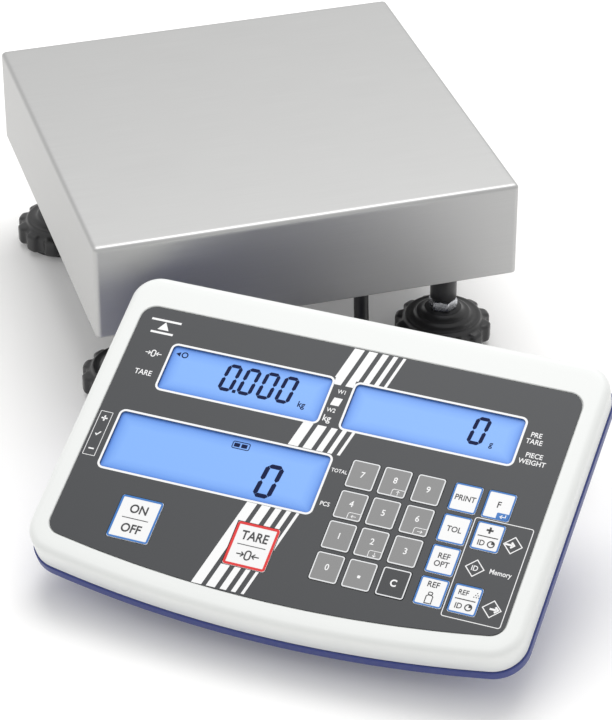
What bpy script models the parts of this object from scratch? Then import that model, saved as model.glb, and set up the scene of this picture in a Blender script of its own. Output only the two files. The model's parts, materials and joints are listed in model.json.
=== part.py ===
"""Counting scale: a weighing platform wired to a separate display unit with a keypad.

Metres, +Z up, +Y to the back of the platform.  The origin is on the floor under the
middle of the box round the platform and the display together.
"""
import math

import bmesh
import bpy
from mathutils import Matrix, Vector

# ---------------------------------------------------------------- driving dimensions
GAP = 0.0003                      # clearance between pieces that touch
PLATFORM_X = 0.0319               # middle of the load plate
PLATFORM_Y = 0.1388
PLATE_W = 0.230                   # load plate, square
PLATE_TOP = 0.110                 # weighing height above the floor
SKIRT = 0.0533                    # depth of the load plate's folded skirt
SHEET = 0.0012                    # stainless sheet
BEND = 0.0024                     # outer bend radius of the sheet

FOOT_MID_X = -0.0023              # the base stands a little left of the plate's middle
FOOT_X = 0.088                    # feet from the middle of the base
FOOT_Y = 0.082
FOOT_R = 0.0265                   # over the lobes
FOOT_LOBES = 12

BASE_Z = 0.062                    # underside of the base frame
BASE_T = 0.008
CELL_L = 0.130
CELL_W = 0.030
CELL_H = 0.020
CARRIER_T = 0.006

DISPLAY_TURN = math.radians(-37.89)
FACE_TILT = math.radians(24.0)
DISPLAY_X = PLATFORM_X - 0.00485  # middle of the keypad foil's top edge
DISPLAY_Y = PLATFORM_Y - 0.2173
FACE_Z = 0.0931
CASE_W = 0.250
CASE_BACK = 0.0186                # case beyond the foil's top edge, along the face
CASE_FRONT = -0.1569              # front of the case at its middle, along the face
CASE_BOW = 0.634                  # radius of the bowed front edge
SHELL_SPLIT = -0.0150             # joint between the two shells, below the face
CASE_BOTTOM = -0.0210             # underside of the blue lip, below the face
WALL = 0.0024
FACE_PLATE = -0.0032              # underside of the top shell's face
POCKET = -0.0010                  # floor of the pocket that holds the foil
FOIL_W = 0.230
FOIL_FRONT = -0.1457
FOIL_BOW = 0.623
FOIL_R = 0.0075
WEDGE_INSET = 0.024               # the wedge's walls stand in from the case's sides
WEDGE_BACK = -0.0022
WEDGE_FRONT = -0.1160
DISPLAY_FOOT = 0.0035

CABLE_D = 0.008
GLAND_X = PLATFORM_X + 0.034
GLAND_Y = PLATFORM_Y - 0.096
GLAND_END = 0.048
COIL_X = PLATFORM_X + 0.0585
COIL_Y = PLATFORM_Y - 0.1957
COIL_COLUMNS = 3
COIL_LAYERS = 3
COIL_MEAN_R = 0.044
SOCKET_Z = 0.0140                 # height of the cable's entry into the display
SOCKET_U = -0.048
BUSHING_L = 0.022

STEEL = (0.62, 0.62, 0.62)
BLACK = (0.02, 0.02, 0.022)


# ---------------------------------------------------------------- helpers
def clear_scene():
    for item in list(bpy.data.objects):
        bpy.data.objects.remove(item, do_unlink=True)


def new_collection(name):
    group = bpy.data.collections.new(name)
    bpy.context.scene.collection.children.link(group)
    return group


def finish(name, color, roughness=0.5, metallic=0.0):
    """One Principled material for one part."""
    surface = bpy.data.materials.new(name)
    surface.use_nodes = True
    shader = surface.node_tree.nodes["Principled BSDF"]
    shader.inputs["Base Color"].default_value = (*color, 1.0)
    shader.inputs["Roughness"].default_value = roughness
    shader.inputs["Metallic"].default_value = metallic
    return surface


def empty(name, location, rotation=(0.0, 0.0, 0.0)):
    """A frame that pieces are placed in."""
    item = bpy.data.objects.new(name, None)
    item.location = location
    item.rotation_euler = rotation
    PARTS.objects.link(item)
    return item


def place(item, parent=None, location=(0.0, 0.0, 0.0), rotation=(0.0, 0.0, 0.0)):
    item.parent = parent
    item.location = location
    item.rotation_euler = rotation
    return item


def mesh_object(name, mesh, look, group=None):
    item = bpy.data.objects.new(name, mesh)
    (group or PARTS).objects.link(item)
    if look:
        mesh.materials.clear()
        mesh.materials.append(look)
    return item


def loft(name, rings, look, group=None):
    """A closed skin through rings of equal length, with the first and last ring capped."""
    build = bmesh.new()
    rows = [[build.verts.new(point) for point in ring] for ring in rings]
    count = len(rings[0])
    for low, high in zip(rows, rows[1:]):
        for k in range(count):
            after = (k + 1) % count
            build.faces.new((low[k], low[after], high[after], high[k]))
    build.faces.new(list(reversed(rows[0])))
    build.faces.new(rows[-1])
    bmesh.ops.recalc_face_normals(build, faces=build.faces)
    mesh = bpy.data.meshes.new(name)
    build.to_mesh(mesh)
    build.free()
    return mesh_object(name, mesh, look, group)


def at_height(outline, z):
    return [(x, y, z) for x, y in outline]


def arc(cx, cy, radius, start, end, steps):
    """Points on an arc, angles in degrees, both ends included."""
    turns = [math.radians(start + (end - start) * k / steps) for k in range(steps + 1)]
    return [(cx + radius * math.cos(t), cy + radius * math.sin(t)) for t in turns]


def rounded_rect(width, depth, radius, steps=3, cx=0.0, cy=0.0):
    """Outline of a rectangle with round corners, anticlockwise."""
    x = width / 2 - radius
    y = depth / 2 - radius
    corners = ((x, -y, -90), (x, y, 0), (-x, y, 90), (-x, -y, 180))
    points = []
    for px, py, start in corners:
        points += arc(cx + px, cy + py, radius, start, start + 90, steps)
    return points


def bowed_outline(half, back, front, bow, back_r, front_r, corner=5, edge=10):
    """Outline with a straight back, straight sides and a front bowed on a large radius."""
    middle = front + bow
    lean = math.degrees(math.asin((half - front_r) / (bow - front_r)))
    corner_y = middle - math.sqrt((bow - front_r) ** 2 - (half - front_r) ** 2)
    right = arc(half - front_r, corner_y, front_r, -90 + lean, 0, corner)
    points = right + arc(half - back_r, back - back_r, back_r, 0, 90, corner)
    points += arc(back_r - half, back - back_r, back_r, 90, 180, corner)
    points += arc(front_r - half, corner_y, front_r, 180, 270 - lean, corner)
    points += arc(0.0, middle, bow, -90 - lean, -90 + lean, edge)[1:-1]
    return points


def case_outline(inset):
    return bowed_outline(CASE_W / 2 - inset, CASE_BACK - inset, CASE_FRONT + inset,
                         CASE_BOW - inset, max(0.014 - inset, 0.002),
                         max(0.017 - inset, 0.002))


def foil_outline(grow):
    return bowed_outline(FOIL_W / 2 + grow, grow, FOIL_FRONT - grow,
                         FOIL_BOW + grow, FOIL_R + grow, FOIL_R + grow)


def prism(name, outline, low, high, look, group=None):
    return loft(name, [at_height(outline, low), at_height(outline, high)], look, group)


def turned(name, profile, look, steps=24):
    """A turned solid: the (radius, height) profile runs from the top to the bottom."""
    mesh = bpy.data.meshes.new(name)
    points = [(radius, 0.0, height) for radius, height in profile]
    closed = profile[0][0] > 0.0
    edges = [(k, k + 1) for k in range(len(points) - 1)]
    if closed:
        edges.append((len(points) - 1, 0))
    mesh.from_pydata(points, edges, [])
    item = mesh_object(name, mesh, look)
    screw = item.modifiers.new("turn", "SCREW")
    screw.angle = math.tau
    screw.steps = steps
    screw.render_steps = steps
    screw.use_merge_vertices = True
    screw.merge_threshold = 0.00001
    screw.use_normal_calculate = False
    return item


def box(name, size, centre, look, group=None):
    """A cube primitive brought to size, with its middle at a given point."""
    build = bmesh.new()
    bmesh.ops.create_cube(build, size=1.0)
    bmesh.ops.scale(build, vec=Vector(size), verts=build.verts)
    bmesh.ops.translate(build, vec=Vector(centre), verts=build.verts)
    mesh = bpy.data.meshes.new(name)
    build.to_mesh(mesh)
    build.free()
    return mesh_object(name, mesh, look, group)


def add_on(name, shapes, parent=None):
    """Boxes (kind, sizes, middle) and cones that a Boolean joins to a piece."""
    build = bmesh.new()
    for kind, sizes, middle in shapes:
        spot = Matrix.Translation(middle)
        if kind == "box":
            stretch = Matrix.Diagonal((*sizes, 1.0))
            bmesh.ops.create_cube(build, size=1.0, matrix=spot @ stretch)
        else:
            low, high, height, sides = sizes
            bmesh.ops.create_cone(build, cap_ends=True, segments=sides, radius1=low,
                                  radius2=high, depth=height, matrix=spot)
    mesh = bpy.data.meshes.new(name)
    build.to_mesh(mesh)
    build.free()
    return hidden(mesh_object(name, mesh, None, CUTTERS), parent)


def flat_plate(name, outlines, thickness, look):
    """A flat plate as a mesh: the first outline is its edge, the others are holes."""
    data = bpy.data.curves.new(name, "CURVE")
    data.dimensions = "2D"
    data.fill_mode = "BOTH"
    data.extrude = thickness / 2
    for outline in outlines:
        spline = data.splines.new("POLY")
        spline.points.add(len(outline) - 1)
        for point, (x, y) in zip(spline.points, outline):
            point.co = (x, y, 0.0, 1.0)
        spline.use_cyclic_u = True
    flat = bpy.data.objects.new(name, data)
    PARTS.objects.link(flat)
    depsgraph = bpy.context.evaluated_depsgraph_get()
    mesh = bpy.data.meshes.new_from_object(flat.evaluated_get(depsgraph))
    bpy.data.objects.remove(flat, do_unlink=True)
    build = bmesh.new()
    build.from_mesh(mesh)
    bmesh.ops.remove_doubles(build, verts=build.verts, dist=0.00001)
    build.to_mesh(mesh)
    build.free()
    return mesh_object(name, mesh, look)


def smooth_route(knots, spacing):
    """Points at an even spacing along a Catmull-Rom curve through the knots."""
    spots = [Vector(knot) for knot in knots]
    ends = [2 * spots[0] - spots[1]] + spots + [2 * spots[-1] - spots[-2]]
    dense = []
    for a, b, c, d in zip(ends, ends[1:], ends[2:], ends[3:]):
        for k in range(20):
            t = k / 20
            dense.append(0.5 * (2 * b + (c - a) * t + (2 * a - 5 * b + 4 * c - d) * t * t
                                + (3 * b - a - 3 * c + d) * t ** 3))
    dense.append(spots[-1])
    total = sum((q - p).length for p, q in zip(dense, dense[1:]))
    count = max(2, round(total / spacing))
    route = [dense[0]]
    walked = 0.0
    for p, q in zip(dense, dense[1:]):
        step = (q - p).length
        while len(route) < count and walked + step >= len(route) * total / count:
            share = (len(route) * total / count - walked) / step
            route.append(p.lerp(q, share))
        walked += step
    route.append(dense[-1])
    return route


def tube(name, route, radius, look, sides=3):
    """Round cable along a route, with filled ends."""
    data = bpy.data.curves.new(name, "CURVE")
    data.dimensions = "3D"
    data.bevel_depth = radius
    data.bevel_resolution = sides
    data.use_fill_caps = True
    spline = data.splines.new("POLY")
    spline.points.add(len(route) - 1)
    for point, spot in zip(spline.points, route):
        point.co = (*spot, 1.0)
    item = bpy.data.objects.new(name, data)
    PARTS.objects.link(item)
    data.materials.append(look)
    return item


def hidden(tool, parent):
    tool.hide_render = True
    tool.display_type = "WIRE"
    tool.parent = parent
    return tool


def cutter(name, outline, low, high, parent=None):
    return hidden(prism(name, outline, low, high, None, CUTTERS), parent)


def combine(item, tool, operation):
    change = item.modifiers.new(tool.name, "BOOLEAN")
    change.operation = operation
    change.solver = "EXACT"
    change.object = tool


def cut(item, tool):
    combine(item, tool, "DIFFERENCE")


def join(item, tool):
    combine(item, tool, "UNION")


# ---------------------------------------------------------------- weighing platform
def make_load_plate():
    """Square tray folded from stainless sheet, upside down, that lifts off the carrier."""
    bottom = PLATE_TOP - SKIRT
    half = BEND * (1 - math.sqrt(0.5))
    outer = [(0.0, bottom), (0.0, PLATE_TOP - BEND), (half, PLATE_TOP - half),
             (BEND, PLATE_TOP)]
    inner = [(SHEET, PLATE_TOP - SHEET), (SHEET, bottom)]
    rings = [at_height(rounded_rect(PLATE_W - 2 * inset, PLATE_W - 2 * inset,
                                    BEND + 0.0012 - min(inset, 0.0022)), z - bottom)
             for inset, z in inner + outer]
    plate = loft("load_plate", rings, finish("plate_steel", (0.60, 0.60, 0.60), 0.32, 1.0))
    return place(plate, None, (PLATFORM_X, PLATFORM_Y, bottom))


def make_carrier(platform):
    """Flat frame on the free end of the load cell, with a seat under each plate corner."""
    top = PLATE_TOP - SHEET - GAP
    look = finish("carrier_grey", (0.35, 0.36, 0.38), 0.5, 0.6)
    windows = [rounded_rect(0.140, 0.050, 0.006, 3, 0.0, side * 0.047) for side in (-1, 1)]
    carrier = flat_plate("carrier_frame", [rounded_rect(0.180, 0.180, 0.012)] + windows,
                         CARRIER_T, look)
    place(carrier, platform, (0.0, 0.0, CARRIER_Z + CARRIER_T / 2))
    low = CARRIER_Z + CARRIER_T / 2
    height = top - low
    seats = []
    for x in (-0.080, 0.080):
        for y in (-0.080, 0.080):
            seats.append(("cone", (0.007, 0.006, height, 16), (x, y, low + height / 2)))
    join(carrier, add_on("plate_seats", seats, platform))


def make_load_cell(platform):
    """Aluminium bending beam with a dumbbell hole, held at one end by each frame."""
    hole = 0.0062
    far = 0.014
    dumbbell = arc(far, 0.0, hole, -120, 120, 8) + arc(-far, 0.0, hole, 60, 300, 8)
    beam = flat_plate("load_cell", [rounded_rect(CELL_L, CELL_H, 0.0008, 1), dumbbell],
                      CELL_W, finish("cell_aluminium", (0.75, 0.76, 0.78), 0.35, 1.0))
    place(beam, platform, (0.0, 0.0, CELL_Z + CELL_H / 2), (math.pi / 2, 0.0, 0.0))
    look = finish("spacer_zinc", (0.55, 0.56, 0.58), 0.35, 1.0)
    lower = CELL_Z - GAP - SPACER_LOW
    upper = CARRIER_Z - 2 * GAP - CELL_Z - CELL_H
    low_spacer = box("cell_spacer_lower", (0.026, 0.028, lower),
                     (-0.050, 0.0, SPACER_LOW + lower / 2), look)
    place(low_spacer, platform)
    high_spacer = box("cell_spacer_upper", (0.026, 0.028, upper),
                      (0.050, 0.0, CELL_Z + CELL_H + GAP + upper / 2), look)
    place(high_spacer, platform)


def make_base(platform):
    """Flat base frame: a rectangle with a bar across for the load cell and foot bosses."""
    windows = [rounded_rect(0.152, 0.060, 0.008, 3, FOOT_MID_X, side * 0.054)
               for side in (-1, 1)]
    studs = [rounded_rect(0.0092, 0.0092, 0.0045, 3, x, y) for _, x, y in FEET]
    gland = rounded_rect(0.0128, 0.0128, 0.0063, 4, GLAND_X - PLATFORM_X,
                         GLAND_Y - PLATFORM_Y)
    look = finish("base_black", (0.05, 0.05, 0.055), 0.6, 0.2)
    edge = rounded_rect(0.196, 0.206, 0.014, 4, FOOT_MID_X, 0.0)
    base = flat_plate("base_frame", [edge] + windows + studs + [gland], BASE_T, look)
    place(base, platform, (0.0, 0.0, BASE_Z + BASE_T / 2))
    level = [(0.0, 0.0055), (0.0070, 0.0055), (0.0075, 0.0050), (0.0075, 0.0),
             (0.0, 0.0)]
    vial = turned("bubble_level", level, finish("level_green", (0.45, 0.8, 0.2), 0.15), 20)
    place(vial, platform, (-0.020, 0.095, BASE_Z + BASE_T + GAP))


def make_foot(platform, label, x, y):
    """Levelling foot: lobed disc and hexagon stud that turn, under a plain spacer tube."""
    foot = empty("foot_" + label, (x, y, 0.0))
    foot.parent = platform
    plastic = finish("foot_plastic_" + label, BLACK, 0.45)
    count = FOOT_LOBES * 4
    lobe = (0.0, 0.0, 1.0, 1.0)

    def ring(radius, z, deep=0.0):
        points = []
        for k in range(count):
            turn = math.tau * (k + 0.5) / count
            reach = radius - deep * (1.0 - lobe[k % 4])
            points.append((reach * math.cos(turn), reach * math.sin(turn), z))
        return points

    notch = 0.0024
    stack = [(0.0210, 0.0, 0.0), (0.0215, 0.0030, 0.0), (FOOT_R, 0.0030, notch),
             (FOOT_R, 0.0122, notch), (0.0216, 0.0136, 0.0), (0.0206, 0.0160, 0.0),
             (0.0150, 0.0166, 0.0), (0.0096, 0.0209, 0.0)]
    disc = loft("foot_disc_" + label, [ring(r, z, deep) for r, z, deep in stack], plastic)
    hole = cutter("stud_hole_" + label, rounded_rect(0.0088, 0.0088, 0.0043, 4), 0.012,
                  0.03, foot)
    cut(disc, hole)
    place(disc, foot)

    steel = finish("stud_steel_" + label, STEEL, 0.3, 1.0)
    sides = 12
    rod = 0.0040
    across = 0.0079

    def circle(radius, z):
        return [(radius * math.cos(math.tau * k / sides), radius
                 * math.sin(math.tau * k / sides), z) for k in range(sides)]

    def hexagon(radius, z, turn):
        flat = math.cos(math.pi / 6)
        points = []
        for k in range(sides):
            reach = radius if k % 2 == 0 else radius * flat
            angle = math.tau * k / sides + turn
            points.append((reach * math.cos(angle), reach * math.sin(angle), z))
        return points

    turn = 0.0
    rings = [circle(rod, 0.0123), circle(rod, 0.0212), hexagon(across, 0.0212, turn),
             hexagon(across, 0.0259, turn), circle(across * 0.86, 0.0267),
             circle(rod, 0.0267), circle(rod, 0.0780)]
    place(loft("foot_stud_" + label, rings, steel), foot)

    bore = rod + 0.0004
    tube_r = 0.00725
    low = 0.0270
    high = 0.0530
    profile = [(bore, high), (tube_r - 0.0005, high), (tube_r, high - 0.0005),
               (tube_r, low + 0.0005), (tube_r - 0.0005, low), (bore, low)]
    place(turned("foot_sleeve_" + label, profile, plastic, 20), foot)


def make_platform_cable(platform):
    """Gland under the front bar, and the load cell's own lead inside the platform."""
    low = BASE_Z
    high = BASE_Z + BASE_T
    rubber = finish("gland_rubber", BLACK, 0.6)
    profile = [(0.0, high + 0.0045), (0.0072, high + 0.0045), (0.0084, high + 0.0035),
               (0.0084, high + GAP), (0.0060, high + GAP), (0.0060, low - GAP),
               (0.0084, low - GAP), (0.0084, low - 0.0035), (0.0068, low - 0.0060),
               (0.0052, GLAND_END + 0.0010), (0.0048, GLAND_END), (0.0, GLAND_END)]
    gland = turned("cable_gland", profile, rubber, 20)
    place(gland, None, (GLAND_X, GLAND_Y, 0.0))
    x = GLAND_X - PLATFORM_X
    y = GLAND_Y - PLATFORM_Y
    side = CELL_W / 2 + GAP
    knots = [(-0.050, -side, 0.084), (-0.050, -0.024, 0.084), (-0.047, -0.034, 0.083),
             (-0.036, -0.042, 0.082), (-0.015, -0.050, 0.081), (0.006, -0.062, 0.082),
             (0.021, -0.076, 0.085), (0.030, -0.088, 0.0875), (x - 0.0006, y, 0.0855),
             (x, y, 0.0815), (x, y, 0.0780), (x, y, high + 0.0045 + 2 * GAP)]
    lead = tube("cell_lead", smooth_route(knots, 0.006), 0.002,
                finish("lead_grey", (0.2, 0.2, 0.2), 0.5), 2)
    place(lead, platform)


# ---------------------------------------------------------------- display unit
def key_layout():
    """Name, middle and size of each key on the face, and its colour."""
    columns = [0.0246, 0.0409, 0.0577]
    rows = [-0.0691, -0.0866, -0.1038, -0.1213]
    grid = (("key_7", "key_8", "key_9"), ("key_4", "key_5", "key_6"),
            ("key_1", "key_2", "key_3"), ("key_0", "key_point", "key_clear"))
    grey = (0.26, 0.26, 0.26)
    white = (0.85, 0.85, 0.85)
    small = (0.0139, 0.0154)
    large = (0.0216, 0.0239)
    keys = []
    for names, v in zip(grid, rows):
        for name, u in zip(names, columns):
            keys.append((name, u, v, small, grey))
    inner = ("key_print", "key_tolerance", "key_ref_optimise", "key_ref_weight")
    keys += [(name, 0.0763, v, small, white) for name, v in zip(inner, rows)]
    outer = (("key_function", rows[0]), ("key_id_plus", rows[1]), ("key_id_ref", rows[3]))
    keys += [(name, 0.0929, v, small, white) for name, v in outer]
    keys.append(("key_on_off", -0.0743, -0.1195, large, white))
    keys.append(("key_tare", -0.0142, -0.1195, large, white))
    return keys


WINDOWS = (("lcd_weight", -0.0496, -0.0328, 0.0846, 0.0263),
           ("lcd_piece_weight", 0.0481, -0.0328, 0.0866, 0.0263),
           ("lcd_quantity", -0.0484, -0.0789, 0.1100, 0.0328))


def make_top_shell(face):
    """White moulded top shell with a bowed front, a foil pocket and its openings."""
    pocket = foil_outline(0.0004)
    rings = [at_height(case_outline(0.0050), FACE_PLATE),
             at_height(case_outline(WALL), FACE_PLATE - 0.0016),
             at_height(case_outline(WALL), SHELL_SPLIT + GAP),
             at_height(case_outline(0.0), SHELL_SPLIT + GAP),
             at_height(case_outline(0.0002), -0.0030),
             at_height(case_outline(0.0009), -0.0010),
             at_height(case_outline(0.0028), 0.0),
             at_height(pocket, 0.0), at_height(pocket, POCKET)]
    shell = loft("top_shell", rings, finish("shell_white", (0.84, 0.86, 0.85), 0.45))
    place(shell, face)
    cut_openings(shell, face, "shell")


def cut_openings(item, face, label):
    """One opening for each window and one for each key."""
    for name, u, v, width, depth in WINDOWS:
        outline = rounded_rect(width, depth, 0.0022, 3, u, v)
        cut(item, cutter(label + "_window_" + name, outline, -0.006, 0.004, face))
    for name, u, v, (width, depth), _ in key_layout():
        outline = rounded_rect(width + 2 * GAP, depth + 2 * GAP, 0.0014, 2, u, v)
        cut(item, cutter(label + "_hole_" + name, outline, -0.006, 0.004, face))


def make_foil(face):
    """Printed keypad foil in its pocket, open at the windows and keys."""
    foil = prism("keypad_foil", foil_outline(0.0), POCKET + GAP, POCKET + GAP + 0.0005,
                 finish("foil_grey", (0.095, 0.098, 0.104), 0.4))
    place(foil, face)
    cut_openings(foil, face, "foil")


def make_keys(face):
    """Each key is a plate that is pushed down through the foil onto its dome."""
    low = -0.0019
    top = 0.0
    for name, u, v, (width, depth), color in key_layout():
        outline = rounded_rect(width, depth, 0.0012, 2)
        inner = rounded_rect(width - 0.0004, depth - 0.0004, 0.0010, 2)
        rings = [at_height(outline, low), at_height(outline, top - 0.0002),
                 at_height(inner, top)]
        key = loft(name, rings, finish(name + "_print", color, 0.4))
        place(key, face, (u, v, 0.0))


def make_displays(face):
    """Three LCD modules: a frame behind the shell and a glass standing in the opening."""
    bottom = -0.0085
    step = FACE_PLATE - GAP
    glass_top = -0.0019
    for name, u, v, width, depth in WINDOWS:
        wide = rounded_rect(width + 0.006, depth + 0.006, 0.001, 3, u, v)
        glass = rounded_rect(width - 0.0008, depth - 0.0008, 0.0018, 3, u, v)
        rings = [at_height(wide, bottom), at_height(wide, step), at_height(glass, step),
                 at_height(glass, glass_top)]
        place(loft(name, rings, finish(name + "_blue", (0.28, 0.5, 0.95), 0.2)), face)


def make_boards(face):
    """Keypad board with a dome under each key, and the main board below it."""
    high = -0.0042
    low = high - 0.0016
    keys = key_layout()
    corner = [(-0.088, -0.136), (0.106, -0.136), (0.106, -0.059), (0.0145, -0.059),
              (0.0145, -0.104), (-0.088, -0.104)]
    board = prism("keypad_board", corner, low, high,
                  finish("board_green", (0.02, 0.22, 0.09), 0.5))
    place(board, face)
    dome = 0.0022
    domes = [("cone", (0.004, 0.0025, dome, 10), (u, v, high + dome / 2 - 0.0004))
             for _, u, v, _, _ in keys]
    join(board, add_on("key_domes", domes, face))
    main = box("main_board", (0.150, 0.062, 0.0016), (0.0, -0.079, -0.0212),
               finish("main_green", (0.02, 0.25, 0.1), 0.5))
    place(main, face)
    chips = [("box", (0.014, 0.014, 0.0026), (-0.030, -0.079, -0.0196)),
             ("box", (0.020, 0.010, 0.0031), (0.020, -0.066, -0.0194)),
             ("box", (0.012, 0.022, 0.0066), (0.060, -0.085, -0.0176))]
    join(main, add_on("board_chips", chips, face))


def make_bottom_shell(face):
    """Blue bottom shell: a lip under the top shell that necks in to a wedge-shaped foot."""
    turn_back = Matrix.Rotation(FACE_TILT, 4, "X")
    base_z = DISPLAY_FOOT + GAP - FACE_Z

    def wedge_outline(inset):
        return bowed_outline(CASE_W / 2 - WEDGE_INSET - inset, WEDGE_BACK - inset,
                             WEDGE_FRONT + inset, 0.55, max(0.012 - inset, 0.002),
                             max(0.012 - inset, 0.002))

    def on_floor(inset, z):
        return [tuple(turn_back.inverted() @ Vector((x, y, z)))
                for x, y in wedge_outline(inset)]

    def neck(inset, depth):
        """The wedge's outline where its upright walls meet a plane below the face."""
        return [(x, (y + depth * math.sin(FACE_TILT)) / math.cos(FACE_TILT), depth)
                for x, y in wedge_outline(inset)]

    split = SHELL_SPLIT
    floor = CASE_BOTTOM + WALL
    rings = [on_floor(WALL, base_z + WALL), neck(WALL, floor),
             at_height(case_outline(WALL + 0.0012), floor),
             at_height(case_outline(WALL), floor + 0.0010),
             at_height(case_outline(WALL), split), at_height(case_outline(0.0), split),
             at_height(case_outline(0.0), CASE_BOTTOM + 0.0010),
             at_height(case_outline(0.0010), CASE_BOTTOM),
             neck(0.0, CASE_BOTTOM), on_floor(0.0, base_z)]
    shell = loft("bottom_shell", rings, finish("shell_blue", (0.047, 0.065, 0.29), 0.45))
    place(shell, face)


def make_case_insides(stand):
    """Battery pack in the wedge, and the two rubber strips that the wedge stands on."""
    wrap = finish("battery_wrap", (0.05, 0.2, 0.08), 0.4)
    battery = loft("battery_pack", [
        at_height(rounded_rect(0.090, 0.044, 0.004, 3, -0.020, -0.034), z)
        for z in (0.0068, 0.0400)], wrap)
    place(battery, stand)
    rubber = finish("feet_rubber", BLACK, 0.8)
    for side, x in (("left", -0.086), ("right", 0.086)):
        outline = rounded_rect(0.010, 0.090, 0.0048, 4, x, -0.058)
        strip = prism("display_foot_" + side, outline, 0.0, DISPLAY_FOOT, rubber)
        place(strip, stand)


def make_rear(stand):
    """Sockets in the wedge's rear wall, and the bushing that holds the cable."""
    back = WEDGE_BACK + GAP
    dark = finish("socket_black", BLACK, 0.5)
    jack = [(0.0, 0.0034), (0.0048, 0.0034), (0.0052, 0.0030), (0.0052, 0.0), (0.0, 0.0)]
    power = turned("power_jack", jack, dark, 16)
    place(power, stand, (0.080, back, 0.016), (-math.pi / 2, 0.0, 0.0))
    flange = rounded_rect(0.031, 0.0125, 0.0012, 2)
    shroud = rounded_rect(0.0175, 0.0090, 0.0012, 2)
    rings = [at_height(flange, 0.0), at_height(flange, 0.0014), at_height(shroud, 0.0014),
             at_height(shroud, 0.0060)]
    serial = loft("serial_port", rings, finish("port_steel", STEEL, 0.3, 1.0))
    place(serial, stand, (-0.010, back, 0.020), (-math.pi / 2, 0.0, 0.0))
    sleeve = [(0.0, BUSHING_L), (0.0048, BUSHING_L), (0.0052, BUSHING_L - 0.0010),
              (0.0072, 0.0040), (0.0088, 0.0030), (0.0088, 0.0), (0.0, 0.0)]
    bushing = turned("cable_bushing", sleeve, finish("bushing_rubber", BLACK, 0.6), 20)
    place(bushing, stand, (SOCKET_U, back, SOCKET_Z), (-math.pi / 2, 0.0, 0.0))


# ---------------------------------------------------------------- free cable
def make_cable():
    """Cable from the gland down to the floor, a coil of the spare length, and on."""
    black = finish("cable_black", BLACK, 0.5)
    radius = CABLE_D / 2
    out = [(0.0340, -0.0960, GLAND_END - GAP), (0.0340, -0.0962, 0.0420),
           (0.0338, -0.0975, 0.0330), (0.0332, -0.1010, 0.0222), (0.0324, -0.1075, 0.0128),
           (0.0310, -0.1165, 0.0065), (0.0285, -0.1280, 0.0043), (0.0240, -0.1395, 0.0041),
           (0.0178, -0.1495, 0.0041), (0.0120, -0.1565, 0.0041), (0.0088, -0.1618, 0.0041)]
    back = [(0.0214, -0.1487, 0.0200), (0.0115, -0.1469, 0.0193), (0.0015, -0.1466, 0.0180),
            (-0.0080, -0.1486, 0.0166), (-0.0160, -0.1536, 0.0153),
            (-0.0228, -0.1618, 0.0144)]
    turn = Matrix.Rotation(DISPLAY_TURN, 3, "Z")
    socket = turn @ Vector((SOCKET_U, WEDGE_BACK + 2 * GAP + BUSHING_L, 0.0))
    end = Vector((DISPLAY_X - PLATFORM_X, DISPLAY_Y - PLATFORM_Y, SOCKET_Z)) + socket
    back.append(tuple(end))
    for name, knots in (("cable_to_coil", out), ("cable_from_coil", back)):
        moved = [(x + PLATFORM_X, y + PLATFORM_Y, z) for x, y, z in knots]
        tube(name, smooth_route(moved, 0.0085), radius, black)
    width = COIL_COLUMNS * radius
    inside = COIL_MEAN_R - width
    outside = COIL_MEAN_R + width
    high = COIL_LAYERS * CABLE_D
    round_off = 0.0025
    profile = [(inside + round_off, high), (outside - round_off, high),
               (outside, high - round_off), (outside, round_off),
               (outside - round_off, 0.0), (inside + round_off, 0.0), (inside, round_off),
               (inside, high - round_off)]
    coil = turned("cable_coil", profile, black, 32)
    place(coil, None, (COIL_X, COIL_Y, 0.0002))


# ---------------------------------------------------------------- assembly
clear_scene()
PARTS = new_collection("counting_scale")
CUTTERS = new_collection("cutters")

SPACER_LOW = BASE_Z + BASE_T + GAP
CELL_Z = SPACER_LOW + 0.0037 + GAP
CARRIER_Z = CELL_Z + CELL_H + 0.0036
FEET = [(label, FOOT_MID_X + sx * FOOT_X, sy * FOOT_Y)
        for label, sx, sy in (("fl", -1, -1), ("fr", 1, -1), ("bl", -1, 1), ("br", 1, 1))]

platform_frame = empty("platform", (PLATFORM_X, PLATFORM_Y, 0.0))
face_frame = empty("face", (DISPLAY_X, DISPLAY_Y, FACE_Z), (FACE_TILT, 0.0, DISPLAY_TURN))
stand_frame = empty("stand", (DISPLAY_X, DISPLAY_Y, 0.0), (0.0, 0.0, DISPLAY_TURN))

make_load_plate()
make_carrier(platform_frame)
make_load_cell(platform_frame)
make_base(platform_frame)
for foot_label, foot_x, foot_y in FEET:
    make_foot(platform_frame, foot_label, foot_x, foot_y)
make_platform_cable(platform_frame)

make_top_shell(face_frame)
make_bottom_shell(face_frame)
make_foil(face_frame)
make_keys(face_frame)
make_displays(face_frame)
make_boards(face_frame)
make_case_insides(stand_frame)
make_rear(stand_frame)
make_cable()

for part in PARTS.objects:
    if part.type == "MESH":
        part.data.shade_smooth()
        part.data.set_sharp_from_angle(angle=math.radians(35))
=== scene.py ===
"""The looks of the counting scale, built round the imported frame.

Metres, in the frame's own axes: +Z up, +Y to the back of the weighing platform, and
the display unit standing to the platform's front left.
"""
import math
from functools import partial

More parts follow.
